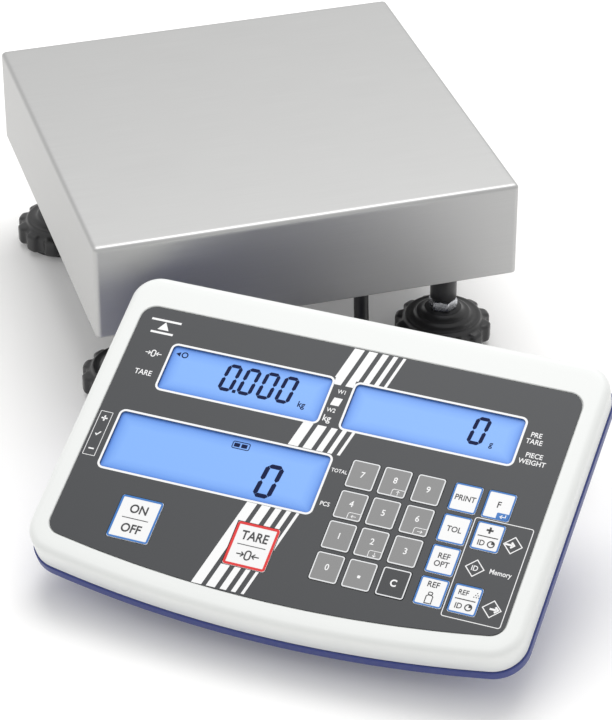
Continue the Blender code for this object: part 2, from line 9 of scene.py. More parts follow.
import bmesh
import bpy
import numpy as np
from mathutils import Matrix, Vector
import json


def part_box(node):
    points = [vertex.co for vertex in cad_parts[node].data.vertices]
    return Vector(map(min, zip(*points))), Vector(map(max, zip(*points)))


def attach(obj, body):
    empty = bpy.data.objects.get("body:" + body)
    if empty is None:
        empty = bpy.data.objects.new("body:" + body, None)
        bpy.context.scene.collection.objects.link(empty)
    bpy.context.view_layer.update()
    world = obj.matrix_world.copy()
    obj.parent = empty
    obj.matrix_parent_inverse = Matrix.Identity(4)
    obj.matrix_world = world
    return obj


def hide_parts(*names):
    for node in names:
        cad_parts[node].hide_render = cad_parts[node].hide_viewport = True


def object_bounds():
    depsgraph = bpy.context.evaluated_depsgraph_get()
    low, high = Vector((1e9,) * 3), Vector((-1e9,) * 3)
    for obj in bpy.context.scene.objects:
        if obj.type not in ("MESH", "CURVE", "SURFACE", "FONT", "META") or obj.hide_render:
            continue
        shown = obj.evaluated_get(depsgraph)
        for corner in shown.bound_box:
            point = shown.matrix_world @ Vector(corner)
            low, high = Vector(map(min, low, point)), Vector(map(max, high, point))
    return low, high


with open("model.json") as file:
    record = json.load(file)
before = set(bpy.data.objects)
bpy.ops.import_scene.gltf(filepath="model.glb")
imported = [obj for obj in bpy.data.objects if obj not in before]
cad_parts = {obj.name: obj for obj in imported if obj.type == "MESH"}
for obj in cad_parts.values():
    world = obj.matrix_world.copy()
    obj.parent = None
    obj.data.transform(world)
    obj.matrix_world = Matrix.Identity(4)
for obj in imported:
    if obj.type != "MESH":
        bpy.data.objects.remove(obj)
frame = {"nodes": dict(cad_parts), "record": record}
cad_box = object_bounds()


# ---------------------------------------------------------------- bench, light and camera
# The scale stands on a plain white bench under one wide soft light, with bright walls
# all round it, and is seen from a little left of the platform's front, from above.
bpy.context.scene.view_settings.view_transform = "Standard"


def corners(node):
    """A node's lowest and highest corners at rest, as arrays."""
    return [np.array(corner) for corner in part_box(node)]


def new_object(name, data):
    """A new object in the scene, at the origin."""
    item = bpy.data.objects.new(name, data)
    bpy.context.scene.collection.objects.link(item)
    return item


plate_low, plate_high = corners("load_plate")
plate_mid = (plate_low + plate_high) / 2

CAMERA_FROM_PLATE = (-0.38320, -1.39115, 0.88857)   # from the plate's middle at bench level
CAMERA_TURN = math.radians(-16.38)
CAMERA_HEIGHT_ANGLE = math.radians(32.36)
CAMERA_ROLL = math.radians(-0.17)
camera_data = bpy.data.cameras.new("camera")
camera_data.lens = 149.46
camera_data.shift_x = 0.01433
camera_data.shift_y = -0.0491
camera = new_object("camera", camera_data)
camera.matrix_world = (
    Matrix.Translation((plate_mid[0] + CAMERA_FROM_PLATE[0],
                        plate_mid[1] + CAMERA_FROM_PLATE[1], CAMERA_FROM_PLATE[2]))
    @ Matrix.Rotation(CAMERA_TURN, 4, "Z")
    @ Matrix.Rotation(math.pi / 2 - CAMERA_HEIGHT_ANGLE, 4, "X")
    @ Matrix.Rotation(CAMERA_ROLL, 4, "Z"))
bpy.context.scene.camera = camera

WALL_LIGHT = 0.72
LAMP_WATTS = 26.0
LAMP_SIZE = 1.6
LAMP_PLACE = (0.35, 0.75, 2.0)
LAMP_TILT = (math.radians(-20.0), math.radians(10.0), 0.0)
world = bpy.data.worlds.new("studio")
world.use_nodes = True
walls = world.node_tree.nodes["Background"].inputs
walls["Color"].default_value = (1.0, 1.0, 1.0, 1.0)
walls["Strength"].default_value = WALL_LIGHT
bpy.context.scene.world = world
lamp_data = bpy.data.lights.new("soft_light", "AREA")
lamp_data.energy = LAMP_WATTS
lamp_data.size = LAMP_SIZE
lamp = new_object("soft_light", lamp_data)
lamp.location = LAMP_PLACE
lamp.rotation_euler = LAMP_TILT


def set_sockets(node, **values):
    """Sets a shader node's sockets by name, with an underscore for each space."""
    for socket, value in values.items():
        node.inputs[socket.replace("_", " ")].default_value = value
    return node


def shader_of(look):
    """The Principled shader of a finish."""
    return look.node_tree.nodes["Principled BSDF"]


SMOOTHEST = 0.02                  # the least roughness of any finish


def finish(name, color, rough, metal=0.0, grain=900.0, stretch=(1.0, 1.0, 1.0),
           shade=0.03, sway=0.04, bump=0.05, depth=0.0001, detail=3.0, coords="Object"):
    """A Principled finish on a noise: the noise shifts colour by the share shade and
    roughness by sway, and its height gives the bump.  stretch scales the noise by axis."""
    look = bpy.data.materials.new(name)
    look.use_nodes = True
    tree = look.node_tree
    new = tree.nodes.new
    shader = set_sockets(shader_of(look), Metallic=metal)
    place = new("ShaderNodeTexCoord")
    turn = set_sockets(new("ShaderNodeMapping"), Scale=stretch)
    noise = set_sockets(new("ShaderNodeTexNoise"), Scale=grain, Detail=detail)
    dark, light = (tuple(min(1.0, part * (1.0 + share)) for part in color) + (1.0,)
                   for share in (-shade, shade))
    mix = new("ShaderNodeMix")
    mix.data_type = "RGBA"
    set_sockets(mix, A=dark, B=light)
    spread = set_sockets(new("ShaderNodeMapRange"), To_Min=max(SMOOTHEST, rough - sway),
                         To_Max=rough + sway)
    rise = set_sockets(new("ShaderNodeBump"), Strength=bump, Distance=depth)
    for start, end in ((place.outputs[coords], turn.inputs["Vector"]),
                       (turn.outputs["Vector"], noise.inputs["Vector"]),
                       (noise.outputs["Fac"], mix.inputs["Factor"]),
                       (mix.outputs["Result"], shader.inputs["Base Color"]),
                       (noise.outputs["Fac"], spread.inputs["Value"]),
                       (spread.outputs["Result"], shader.inputs["Roughness"]),
                       (noise.outputs["Fac"], rise.inputs["Height"]),
                       (rise.outputs["Normal"], shader.inputs["Normal"])):
        tree.links.new(start, end)
    return look


BENCH = 14.0
BENCH_GLOW = 0.10
bench_mesh = bpy.data.meshes.new("bench_top")
bench_mesh.from_pydata([(x * BENCH / 2, y * BENCH / 2, 0.0)
                        for x, y in ((-1, -1), (1, -1), (1, 1), (-1, 1))], [],
                       [(0, 1, 2, 3)])
bench = new_object("bench_top", bench_mesh)
bench_white = finish("bench_white", (0.93, 0.925, 0.915), 0.7, bump=0.0, shade=0.005,
                     grain=3.0)
set_sockets(shader_of(bench_white), Emission_Strength=BENCH_GLOW)
bench_mesh.materials.append(bench_white)


# ---------------------------------------------------------------- cable
# One round black lead from the platform's gland to the display unit.  Its spare length
# lies in a neat coil behind the display, under a hook-and-loop tie.
CABLE_D = 0.008
BUSHING_REACH = 0.0204            # end of the bushing behind the display's stand line
SOCKET_ACROSS = -0.048
SOCKET_HEIGHT = 0.0140
FACE_HEIGHT = 0.0931              # the foil's top edge above the bench
STAND_LINE = 0.058                # from the rubber strips' middle back to that edge
COIL_FROM_PLATE = (0.0585, -0.1957)
COIL_RADII = (0.036, 0.044, 0.052)
COIL_LAYERS = (0.0049, 0.0129, 0.0209)


def unit(way):
    """Each direction at a length of one."""
    return way / np.linalg.norm(way, axis=-1, keepdims=True)


mounts = {m["name"]: np.array(m["pos_m"]) for m in frame["record"]["mounts"]}
joints = {j["name"]: j for j in frame["record"]["behaviour"]["joints"]}
across = unit(mounts["display_right_under"] - mounts["display_left_under"])
away = np.cross((0.0, 0.0, 1.0), across)
stand_origin = (mounts["display_left_under"] + mounts["display_right_under"]) / 2
stand_origin = stand_origin + STAND_LINE * away
face_up = unit(-np.array(joints["key_5_press"]["axis"]))
face_axes = np.array((across, np.cross(face_up, across), face_up))
face_origin = stand_origin + (0.0, 0.0, FACE_HEIGHT)
stand_axes = np.array((across, away, (0.0, 0.0, 1.0)))


def on_face(points):
    """Points across, up and out of the display's face, brought to the frame."""
    return np.asarray(points, float) @ face_axes + face_origin


def on_stand(points):
    """Points across, back and up from the display's stand line, brought to the frame."""
    return np.asarray(points, float) @ stand_axes + stand_origin


out = [(0.0340, -0.0960, 0.0477), (0.0340, -0.0962, 0.0420), (0.0338, -0.0975, 0.0330),
       (0.0332, -0.1010, 0.0222), (0.0324, -0.1075, 0.0128), (0.0310, -0.1165, 0.0065),
       (0.0285, -0.1280, 0.0043), (0.0240, -0.1395, 0.0041), (0.0178, -0.1495, 0.0041),
       (0.0120, -0.1565, 0.0041), (0.0088, -0.1618, 0.0042)]
back = [(0.0214, -0.1487, 0.0200), (0.0115, -0.1469, 0.0193), (0.0015, -0.1466, 0.0180),
        (-0.0080, -0.1486, 0.0166), (-0.0160, -0.1536, 0.0153), (-0.0228, -0.1618, 0.0144)]


def coil_turns(step=15.0):
    """Anticlockwise turns: the radius and the layer step over between marked angles."""
    angle = np.arange(180.0, 2255.0 + step / 2, step)
    radius = np.interp(angle, (480, 540, 840, 900, 1440, 1500, 1630, 1690),
                       np.array(COIL_RADII)[[2, 1, 1, 0, 0, 1, 1, 2]])
    height = np.interp(angle, (1140, 1200, 1930, 1990),
                       np.array(COIL_LAYERS)[[0, 1, 1, 2]])
    turn = np.radians(angle)
    return np.column_stack((radius * np.cos(turn) + COIL_FROM_PLATE[0],
                            radius * np.sin(turn) + COIL_FROM_PLATE[1], height))


at_plate = np.array((plate_mid[0], plate_mid[1], 0.0))
socket = on_stand([(SOCKET_ACROSS, BUSHING_REACH, SOCKET_HEIGHT)])
route = np.vstack((np.array(out) + at_plate, coil_turns() + at_plate,
                   np.array(back) + at_plate, socket))
cable_curve = bpy.data.curves.new("cable", "CURVE")
cable_curve.dimensions = "3D"
cable_curve.bevel_depth = CABLE_D / 2
cable_curve.bevel_resolution = 6
cable_curve.resolution_u = 5
cable_curve.use_fill_caps = True
cable_line = cable_curve.splines.new("BEZIER")
cable_line.bezier_points.add(len(route) - 1)
cable_line.bezier_points.foreach_set("co", route.ravel())
for knot in cable_line.bezier_points:
    knot.handle_left_type = "AUTO"
    knot.handle_right_type = "AUTO"
cable = new_object("cable", cable_curve)
cable_curve.materials.append(finish("cable_jacket", (0.020, 0.020, 0.022), 0.38,
                                    grain=1500.0, bump=0.12, shade=0.15))
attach(cable, "platform")
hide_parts("cable_to_coil", "cable_coil", "cable_from_coil")


def surface(rings, caps=True, loop=False):
    """Quads between rings of points; caps closes the first and last ring with one face
    each, and loop joins the last ring to the first."""
    rings = np.asarray(rings, float)
    rows, count = rings.shape[:2]
    index = np.arange(rows * count).reshape(rows, count)
    if loop:
        index = np.vstack((index, index[:1]))
    low, high = index[:-1], index[1:]
    quads = np.stack((low, np.roll(low, -1, 1), np.roll(high, -1, 1), high), -1)
    faces = quads.reshape(-1, 4).tolist()
    if caps and not loop:
        faces += [index[0, ::-1].tolist(), index[-1].tolist()]
    return rings.reshape(-1, 3), faces


def piece(name, shapes, stands_for=(), crease=35.0, body="platform"):
    """One object from (points, faces, finish) shapes, faces outwards, smooth up to the
    crease angle, riding on a body."""
    mesh = bpy.data.meshes.new(name)
    points, faces, kinds, looks = [], [], [], []
    start = 0
    for spots, sides, look in shapes:
        if look not in looks:
            looks.append(look)
        points.append(np.asarray(spots, float))
        faces += [[start + corner for corner in side] for side in sides]
        kinds += [looks.index(look)] * len(sides)
        start += len(spots)
    mesh.from_pydata(np.vstack(points), [], faces)
    for look in looks:
        mesh.materials.append(look)
    mesh.polygons.foreach_set("material_index", kinds)
    build = bmesh.new()
    build.from_mesh(mesh)
    bmesh.ops.remove_doubles(build, verts=build.verts, dist=1e-7)
    bmesh.ops.recalc_face_normals(build, faces=build.faces)
    build.to_mesh(mesh)
    build.free()
    mesh.shade_smooth()
    mesh.set_sharp_from_angle(angle=math.radians(crease))
    item = new_object(name, mesh)
    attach(item, body)
    if stands_for:
        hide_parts(*stands_for)
    return item


def full_turn(count):
    """Evenly spaced angles, once round."""
    return np.linspace(0.0, math.tau, count, endpoint=False)


TIE_HALF = 0.008                  # half the strap's width
TIE_THICK = 0.0007
TIE_GAP = 0.0001


def coil_tie():
    """A band round the coil: the outline that a taut strap takes round the turns' circles,
    carried along the coil for its width."""
    turns = np.array([(r, COIL_LAYERS[0]) for r in COIL_RADII]
                     + [(COIL_RADII[0], COIL_LAYERS[1]), (COIL_RADII[2], COIL_LAYERS[1]),
                        (COIL_RADII[2], COIL_LAYERS[2])])
    out_way = full_turn(96)
    push = np.column_stack((np.cos(out_way), np.sin(out_way)))
    outermost = turns[np.argmax(turns @ push.T, axis=0)]
    rings = []
    for side, reach in ((-1, 0.0), (-1, TIE_THICK), (1, TIE_THICK), (1, 0.0)):
        line = outermost + push * (CABLE_D / 2 + TIE_GAP + reach)
        rings.append(np.column_stack((side * TIE_HALF * np.ones(len(line)), -line[:, 0],
                                      line[:, 1])))
    spots = np.array(rings) + at_plate + (*COIL_FROM_PLATE, 0.0)
    return surface(spots, loop=True)


tie_nylon = finish("tie_nylon", (0.03, 0.03, 0.033), 0.85, grain=2600.0, bump=0.5,
                   depth=0.0003, shade=0.3)
piece("cable_tie", [(*coil_tie(), tie_nylon)])


def swept(reach, height, turn, spot):
    """A closed body round the vertical at a spot: at each height, a radius by angle."""
    level = np.broadcast_to(height, np.broadcast_shapes(np.shape(reach), turn.shape))
    points, faces = surface(np.stack((reach * np.cos(turn), reach * np.sin(turn), level),
                                     -1))
    return points + spot, faces


def turned(profile, spot=(0.0, 0.0, 0.0), count=56):
    """A turned solid: (radius, height) pairs swept round the vertical at a spot."""
    radius, height = (np.array(part, float)[:, None] for part in zip(*profile))
    return swept(radius, height, full_turn(count), spot)


# The gland is a moulded rubber stopper, pressed into the base frame's front bar, that
# narrows to the lead; the bushing is a ribbed sleeve in the display's rear wall.
rubber = finish("moulded_rubber", (0.022, 0.022, 0.024), 0.62, grain=1400.0, bump=0.2,
                shade=0.12)
GLAND_REACH = 0.0140              # from the bar's underside down to the lead's exit
seat = corners("base_frame")[0][2]
gland_profile = [(radius, seat - drop) for radius, drop in (
    (0.0022, -0.0125), (0.0072, -0.0125), (0.0084, -0.0115), (0.0084, -0.0083),
    (0.0060, -0.0083), (0.0060, 0.0003), (0.0080, 0.0003), (0.0084, 0.0008),
    (0.0084, 0.0030), (0.0079, 0.0036), (0.0069, 0.0042), (0.0066, 0.0062),
    (0.0058, 0.0066), (0.0058, 0.0080), (0.0063, 0.0084), (0.0061, 0.0100),
    (0.0053, 0.0104), (0.0053, 0.0117), (0.0057, 0.0121), (0.0055, 0.0136),
    (0.0050, GLAND_REACH), (0.0040, GLAND_REACH))]
gland_spot = (route[0][0], route[0][1], 0.0)
piece("lead_gland", [(*turned(gland_profile, gland_spot), rubber)],
      ("cable_gland",))

RIBS = 5
BUSHING_LENGTH = 0.022
rib = BUSHING_LENGTH * 0.75 / RIBS
bushing_profile = [(0.0060, 0.0), (0.0086, 0.0), (0.0088, 0.0004), (0.0088, 0.0027),
                   (0.0084, 0.0032), (0.0072, 0.0036)]
for number in range(RIBS):
    foot = 0.0042 + number * rib
    full = 0.0072 - 0.0004 * number
    bushing_profile += [(full, foot), (full, foot + 0.55 * rib),
                        (full - 0.0011, foot + 0.62 * rib),
                        (full - 0.0011, foot + 0.95 * rib)]
bushing_profile += [(0.0052, BUSHING_LENGTH - 0.0008), (0.0048, BUSHING_LENGTH)]
points, faces = turned(bushing_profile)
points = points[:, [0, 2, 1]] * (1.0, 1.0, -1.0)
points = points + (SOCKET_ACROSS, BUSHING_REACH - BUSHING_LENGTH - 0.0003, SOCKET_HEIGHT)
piece("lead_bushing", [(on_stand(points), faces, rubber)],
      ("cable_bushing",))


# ---------------------------------------------------------------- load plate
# A square tray folded from 1.2 mm stainless sheet, brushed from left to right, with
# welded and dressed corners.  It lies loose on the carrier.
SHEET = 0.0012
PLATE_BEND = 0.0026
CUT_EDGE = 0.0002                 # the break on the skirt's lower edge
BESIDE = 0.0010                   # from a bend to the level that keeps a face flat
PLATE_R = 0.0030                  # the skirt's corners, seen from above
TOP_R = 0.0016
plate_w = plate_high[0] - plate_low[0]


def rounded(width, depth, radius, steps=6, mid=(0.0, 0.0)):
    """Outline of a rectangle with round corners, anticlockwise: four quarter circles."""
    quarter = np.linspace(0.0, math.pi / 2, steps + 1)
    parts = []
    for k, (sx, sy) in enumerate(((1, -1), (1, 1), (-1, 1), (-1, -1))):
        turn = quarter + (k - 1) * math.pi / 2
        parts.append(np.column_stack((
            sx * (width / 2 - radius) + radius * np.cos(turn),
            sy * (depth / 2 - radius) + radius * np.sin(turn))))
    return np.vstack(parts) + mid


def level_ring(outline, height):
    """A flat outline's points, all at one height."""
    return np.column_stack((outline, np.full(len(outline), height)))


def tray(inset, height, radius):
    """One level of the tray: a rounded square, its sides drawn in by inset."""
    side = plate_w - 2 * inset
    return level_ring(rounded(side, side, radius) + plate_mid[:2], height)


low, high = plate_low[2], plate_high[2]
curl = np.linspace(0.0, math.pi / 2, 7)
outer_bend = [tray(PLATE_BEND * (1 - math.cos(t)), high - PLATE_BEND * (1 - math.sin(t)),
                   PLATE_R - (PLATE_R - TOP_R) * math.sin(t)) for t in curl]
inner = [tray(0.006, high - SHEET, 0.0010), tray(SHEET, high - SHEET, 0.0010),
         tray(SHEET, low + CUT_EDGE, 0.0010), tray(SHEET - CUT_EDGE, low, 0.0012)]
rim = [tray(CUT_EDGE, low, PLATE_R - CUT_EDGE)]
rim += [tray(0.0, level, PLATE_R) for level in (low + CUT_EDGE, low + BESIDE,
                                                high - PLATE_BEND - BESIDE)]
top = [tray(PLATE_BEND + BESIDE, high, TOP_R), tray(PLATE_BEND + 3 * BESIDE, high, TOP_R)]
points, faces = surface(inner + rim + outer_bend + top)

steel = finish("brushed_sheet", (0.555, 0.555, 0.55), 0.50, 1.0, grain=1.0,
               stretch=(22.0, 2600.0, 1.0), shade=0.07, sway=0.06, bump=0.10,
               depth=0.00004, detail=5.0, coords="UV")
steel_shader = set_sockets(shader_of(steel), Anisotropic=0.35)
along_grain = steel.node_tree.nodes.new("ShaderNodeTangent")
along_grain.direction_type = "UV_MAP"
along_grain.uv_map = "sheet"
steel.node_tree.links.new(along_grain.outputs["Tangent"], steel_shader.inputs["Tangent"])
plate = piece("weighing_plate", [(points, faces, steel)],
              ("load_plate",), crease=50.0, body="load_plate")


def column(items, what, width=1, kind=float):
    """One property of every vertex, corner or face of a mesh, as an array."""
    values = np.empty(len(items) * width, kind)
    items.foreach_get(what, values)
    return values.reshape(-1, width) if width > 1 else values


def unfold(item):
    """UVs of the flat sheet before folding: a skirt's drop is added beyond the edge that
    it hangs from, so that the grain runs on over the bends."""
    mesh = item.data
    corner = column(mesh.loops, "vertex_index", kind=int)
    spot = column(mesh.vertices, "co", 3)[corner]
    spot = spot - (plate_mid[0], plate_mid[1], plate_high[2])
    facing = np.repeat(column(mesh.polygons, "normal", 3),
                       column(mesh.polygons, "loop_total", kind=int), 0)
    sideways = np.abs(facing[:, 0]) > np.abs(facing[:, 1])
    drop = -spot[:, 2]
    u = spot[:, 0] + np.where(sideways, np.sign(spot[:, 0]) * drop, 0.0)
    v = spot[:, 1] + np.where(sideways, 0.0, np.sign(spot[:, 1]) * drop)
    layer = mesh.uv_layers.new(name="sheet")
    layer.data.foreach_set("uv", np.column_stack((u, v)).ravel())


unfold(plate)


# ---------------------------------------------------------------- inside the platform
# A cast aluminium carrier sits on the free end of a machined load cell, and the cell on
# a black powder-coated base frame; socket screws hold the two ends through spacers.
def dress(look, *nodes):
    """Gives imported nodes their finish."""
    for node in nodes:
        data = frame["nodes"][node]
        if data.material_slots:
            for spot in data.material_slots:
                spot.material = look
        else:
            data.data.materials.append(look)


dress(finish("cast_grey", (0.34, 0.35, 0.37), 0.55, 0.7, grain=380.0, bump=0.5,
             depth=0.0003, shade=0.12), "carrier_frame")
dress(finish("milled_aluminium", (0.75, 0.76, 0.78), 0.32, 1.0, grain=260.0,
             stretch=(0.1, 6.0, 6.0), bump=0.15, shade=0.06), "load_cell")
zinc = finish("zinc_plate", (0.66, 0.67, 0.70), 0.26, 1.0, grain=500.0, bump=0.08,
              shade=0.08, sway=0.08)
dress(zinc, "cell_spacer_lower", "cell_spacer_upper")
powder = finish("black_powder_coat", (0.035, 0.035, 0.038), 0.5, 0.0, grain=1800.0,
                bump=0.6, depth=0.0002, shade=0.15)
dress(powder, "base_frame")
dress(finish("lead_jacket", (0.16, 0.16, 0.165), 0.45, grain=1500.0, bump=0.1),
      "cell_lead")

level_low, level_high = corners("bubble_level")
vial_fluid = finish("vial_fluid", (0.50, 0.82, 0.16), 0.12, grain=200.0, bump=0.0)
vial_rim = finish("vial_rim", (0.86, 0.86, 0.84), 0.35, bump=0.1)
vial_ink = finish("vial_ink", (0.02, 0.02, 0.02), 0.4, bump=0.0)
VIAL_R = 0.0075
vial_at = np.append((level_low + level_high)[:2] / 2, level_low[2])
vial_parts = (
    ([(VIAL_R, 0.0), (VIAL_R, 0.0046), (0.0072, 0.0051), (0.0062, 0.0053),
      (0.0060, 0.0047)], vial_rim),
    ([(0.0059, 0.0040), (0.0059, 0.0049), (0.0045, 0.00515), (0.0025, 0.0053),
      (0.0008, 0.00534)], vial_fluid),
    ([(0.0023, 0.0052), (0.0023, 0.00545), (0.0026, 0.00545), (0.0026, 0.0052)],
     vial_ink))
piece("spirit_level", [(*turned(profile, vial_at), look) for profile, look in vial_parts],
      ("bubble_level",))


def socket_screw(spot, head_r, head_h, down=False, count=36):
    """A cap head with a rounded rim and a hexagon socket sunk in it: the socket's points
    are shares of the way from one of its six corners to the next."""
    levels = [(head_r, 0.0), (head_r, head_h - 0.0004), (head_r - 0.0004, head_h),
              (head_r * 0.62, head_h)]
    rim, _ = turned(levels, count=count)
    flat = count // 6
    six = np.floor(np.arange(count) / flat) * math.tau / 6 + 0.02
    share = ((np.arange(count) % flat) / flat)[:, None]
    start, end = (np.column_stack((np.cos(turn), np.sin(turn)))
                  for turn in (six, six + math.tau / 6))
    hexagon = (start * (1 - share) + end * share) * head_r * 0.55
    rows = rim.reshape(len(levels), count, 3)
    socket_rows = [np.column_stack((hexagon, np.full(count, level)))
                   for level in (head_h, head_h * 0.35)]
    spots, sides = surface(np.concatenate((rows, socket_rows)))
    return spots * (1.0, 1.0, -1.0 if down else 1.0) + spot, sides


SCREW_GRID = 0.0075
SCREW_R = 0.0042
CARRIER_WEB = 0.0062              # top of the carrier's web above its underside
CELL_END = 0.050                  # from the cell's middle to the screws at each end
carrier_face = corners("carrier_frame")[0][2] + CARRIER_WEB
base_face = seat - 0.0002
screws = []
for side in (-1, 1):
    for along in (-1, 1):
        for end, level, head, down in ((CELL_END, carrier_face, 0.0036, False),
                                       (-CELL_END, base_face, 0.0040, True)):
            spot = (plate_mid[0] + end + along * SCREW_GRID,
                    plate_mid[1] + side * SCREW_GRID, level)
            screws.append((*socket_screw(spot, SCREW_R, head, down), zinc))
piece("cell_screws", screws)


# ---------------------------------------------------------------- levelling feet
# Each foot is a moulded black star disc on a zinc-plated M8 stud.  A hexagon nut locks
# the stud, and a plain black tube carries the load up to the base frame.
foot_black = finish("foot_black", (0.034, 0.034, 0.035), 0.32, grain=700.0, bump=0.22,
                    depth=0.0002, shade=0.15, sway=0.06)
LOBES = 12
LOBE_DEPTH = 0.0026
LOBE_SHARE = 0.25                 # how much wider a lobe is than the gap beside it
STEEP = 2.4                       # how sharply the one turns into the other
STUD_R = 0.0040
THREAD_PITCH = 0.0015
THREAD_DEPTH = 0.0004
disc_profile = [
    (0.0205, 0.0, 0), (0.0213, 0.0004, 0), (0.0215, 0.0022, 0), (0.0222, 0.0028, 0.1),
    (0.0246, 0.0030, 0.8), (0.0258, 0.0033, 1), (0.0264, 0.0040, 1), (0.0265, 0.0050, 1),
    (0.0265, 0.0085, 1), (0.0265, 0.0112, 1), (0.0263, 0.0120, 1), (0.0256, 0.0127, 1),
    (0.0244, 0.0131, 0.8), (0.0228, 0.0134, 0.3), (0.0218, 0.0137, 0), (0.0213, 0.0143, 0),
    (0.0210, 0.0153, 0), (0.0206, 0.0158, 0), (0.0199, 0.0160, 0), (0.0190, 0.0158, 0),
    (0.0168, 0.0160, 0), (0.0158, 0.0164, 0), (0.0152, 0.0172, 0), (0.0148, 0.0180, 0),
    (0.0142, 0.0184, 0), (0.0134, 0.0184, 0), (0.0124, 0.0186, 0), (0.0112, 0.0192, 0),
    (0.0105, 0.0201, 0), (0.0101, 0.0207, 0), (0.0094, 0.0209, 0), (0.0047, 0.0209, 0),
    (0.0044, 0.0206, 0), (0.0044, 0.0125, 0)]


def star_disc(spot):
    """The profile swept round; the rim's radius dips between the lobes by a share of
    LOBE_DEPTH that a steepened cosine of twelve times the angle gives."""
    turn = full_turn(LOBES * 16)
    dip = 0.5 - 0.5 * np.tanh(STEEP * (np.cos(LOBES * turn) + LOBE_SHARE)) / math.tanh(
        STEEP * (1.0 + LOBE_SHARE))
    radius, height, share = (np.array(part)[:, None] for part in zip(*disc_profile))
    return swept(radius - LOBE_DEPTH * share * dip, height, turn, spot)


CHAMFER = 0.0007                  # height of the cut at a nut's faces
TURNED = 0.985                    # its circle on the face, as a share of the flats


def hexagon_nut(spot, across_corners=0.0158, low=0.0212, high=0.0267, count=96):
    """A hexagon's radius by angle, cut by a 30 degree cone at both faces."""
    turn = full_turn(count)
    flat = across_corners / 2 * math.cos(math.pi / 6)
    hexagon = flat / np.cos((turn + math.pi / 6) % (math.pi / 3) - math.pi / 6)
    height = np.concatenate((low + np.linspace(0.0, CHAMFER, 5),
                             high - np.linspace(CHAMFER, 0.0, 5)))[:, None]
    edge = np.minimum(height - low, high - height)
    return swept(np.minimum(hexagon, flat * TURNED + 1.9 * edge), height, turn, spot)


def threaded_stud(spot, low=0.0126, high=0.0778):
    """A rod whose radius rises and falls with height less the angle's share of a pitch."""
    turn = full_turn(24)
    height = np.arange(low, high, THREAD_PITCH / 8)[:, None]
    wave = np.cos(math.tau * height / THREAD_PITCH - turn)
    ends = np.clip(np.minimum(height - low, high - height) / 0.001, 0.0, 1.0)
    reach = STUD_R - THREAD_DEPTH * (1.0 - wave) / 2 - 0.0006 * (1.0 - ends)
    return swept(reach, height, turn, spot)


TUBE_R = 0.00725
tube_profile = [(0.0044, 0.0270), (TUBE_R - 0.0006, 0.0270), (TUBE_R - 0.0002, 0.0272),
                (TUBE_R, 0.0276), (TUBE_R, 0.0524), (TUBE_R - 0.0002, 0.0528),
                (TUBE_R - 0.0006, 0.0530), (0.0044, 0.0530)]
for corner in ("fl", "fr", "bl", "br"):
    spot = np.append(sum(corners("foot_disc_" + corner))[:2] / 2, 0.0)
    turning = f"foot_{corner}_screw"
    piece("star_disc_" + corner, [(*star_disc(spot), foot_black)],
          ("foot_disc_" + corner,), crease=40.0, body=turning)
    piece("stud_and_nut_" + corner,
          [(*hexagon_nut(spot), zinc), (*threaded_stud(spot), zinc)],
          ("foot_stud_" + corner,), crease=30.0, body=turning)
    points, _ = turned(tube_profile, spot)
    tube = surface(points.reshape(len(tube_profile), -1, 3), loop=True)
    piece("spacer_tube_" + corner, [(*tube, foot_black)],
          ("foot_sleeve_" + corner,), body=f"foot_{corner}_sleeve")


# ---------------------------------------------------------------- display case
# A white moulded top shell with a broad soft rim round the keypad, clipped on a blue
# bottom shell that shows as a thin lip and stands on a wedge with rubber strips.
CASE_HALF = 0.125
CASE_BACK = 0.0186                # beyond the foil's top edge, along the face
CASE_FRONT = -0.1569
CASE_BOW = 0.634
CASE_BACK_R = 0.0140
CASE_FRONT_R = 0.0170
LEAST_R = 0.002                   # no corner gets sharper than this
SPLIT = -0.0150
LIP_BOTTOM = -0.0210
WALL = 0.0024
FOIL_HALF = 0.115
FOIL_FRONT = -0.1457
FOIL_BOW = 0.623
FOIL_R = 0.0075
FOIL_TOP = -0.0002
WEDGE_HALF = 0.101
WEDGE_BACK = -0.0022
WEDGE_FRONT = -0.1160
WEDGE_BOW = 0.55
WEDGE_R = 0.0120
RUBBER = 0.0035
FACE_TILT = math.acos(face_up[2])


def bowed(half, back, front, bow, back_r, front_r, corner=14, edge=48):
    """Outline with straight back and sides, round corners, and a front that is an arc of
    radius bow; each corner is an arc that meets its neighbours in line."""
    middle = front + bow
    lean = math.asin((half - front_r) / (bow - front_r))
    corner_y = middle - math.sqrt((bow - front_r) ** 2 - (half - front_r) ** 2)
    quarter = math.pi / 2
    arcs = ((half - front_r, corner_y, front_r, lean - quarter, 0.0, corner),
            (half - back_r, back - back_r, back_r, 0.0, quarter, corner),
            (back_r - half, back - back_r, back_r, quarter, 2 * quarter, corner),
            (front_r - half, corner_y, front_r, 2 * quarter, 3 * quarter - lean, corner),
            (0.0, middle, bow, -quarter - lean, lean - quarter, edge))
    parts = []
    for across_by, along_by, radius, start, end, steps in arcs:
        turn = np.linspace(start, end, steps + 1)
        parts.append(np.column_stack((across_by + radius * np.cos(turn),
                                      along_by + radius * np.sin(turn))))
    return np.vstack(parts[:4] + [parts[4][1:-1]])


LEAST_BLOCK_R = 0.0006


def rounded_block(width, depth, radius, levels, mid=(0.0, 0.0), steps=6, loop=False):
    """A body of rounded rectangles: each level is how far it is drawn in, and a height."""
    return surface([level_ring(rounded(width - 2 * draw, depth - 2 * draw,
                                       max(radius - draw, LEAST_BLOCK_R), steps, mid),
                               height) for draw, height in levels], loop=loop)


def faced(shape, look, at=(0.0, 0.0, 0.0)):
    """A shape drawn at a point of the face, brought to the frame with its finish."""
    return on_face(shape[0] + at), shape[1], look


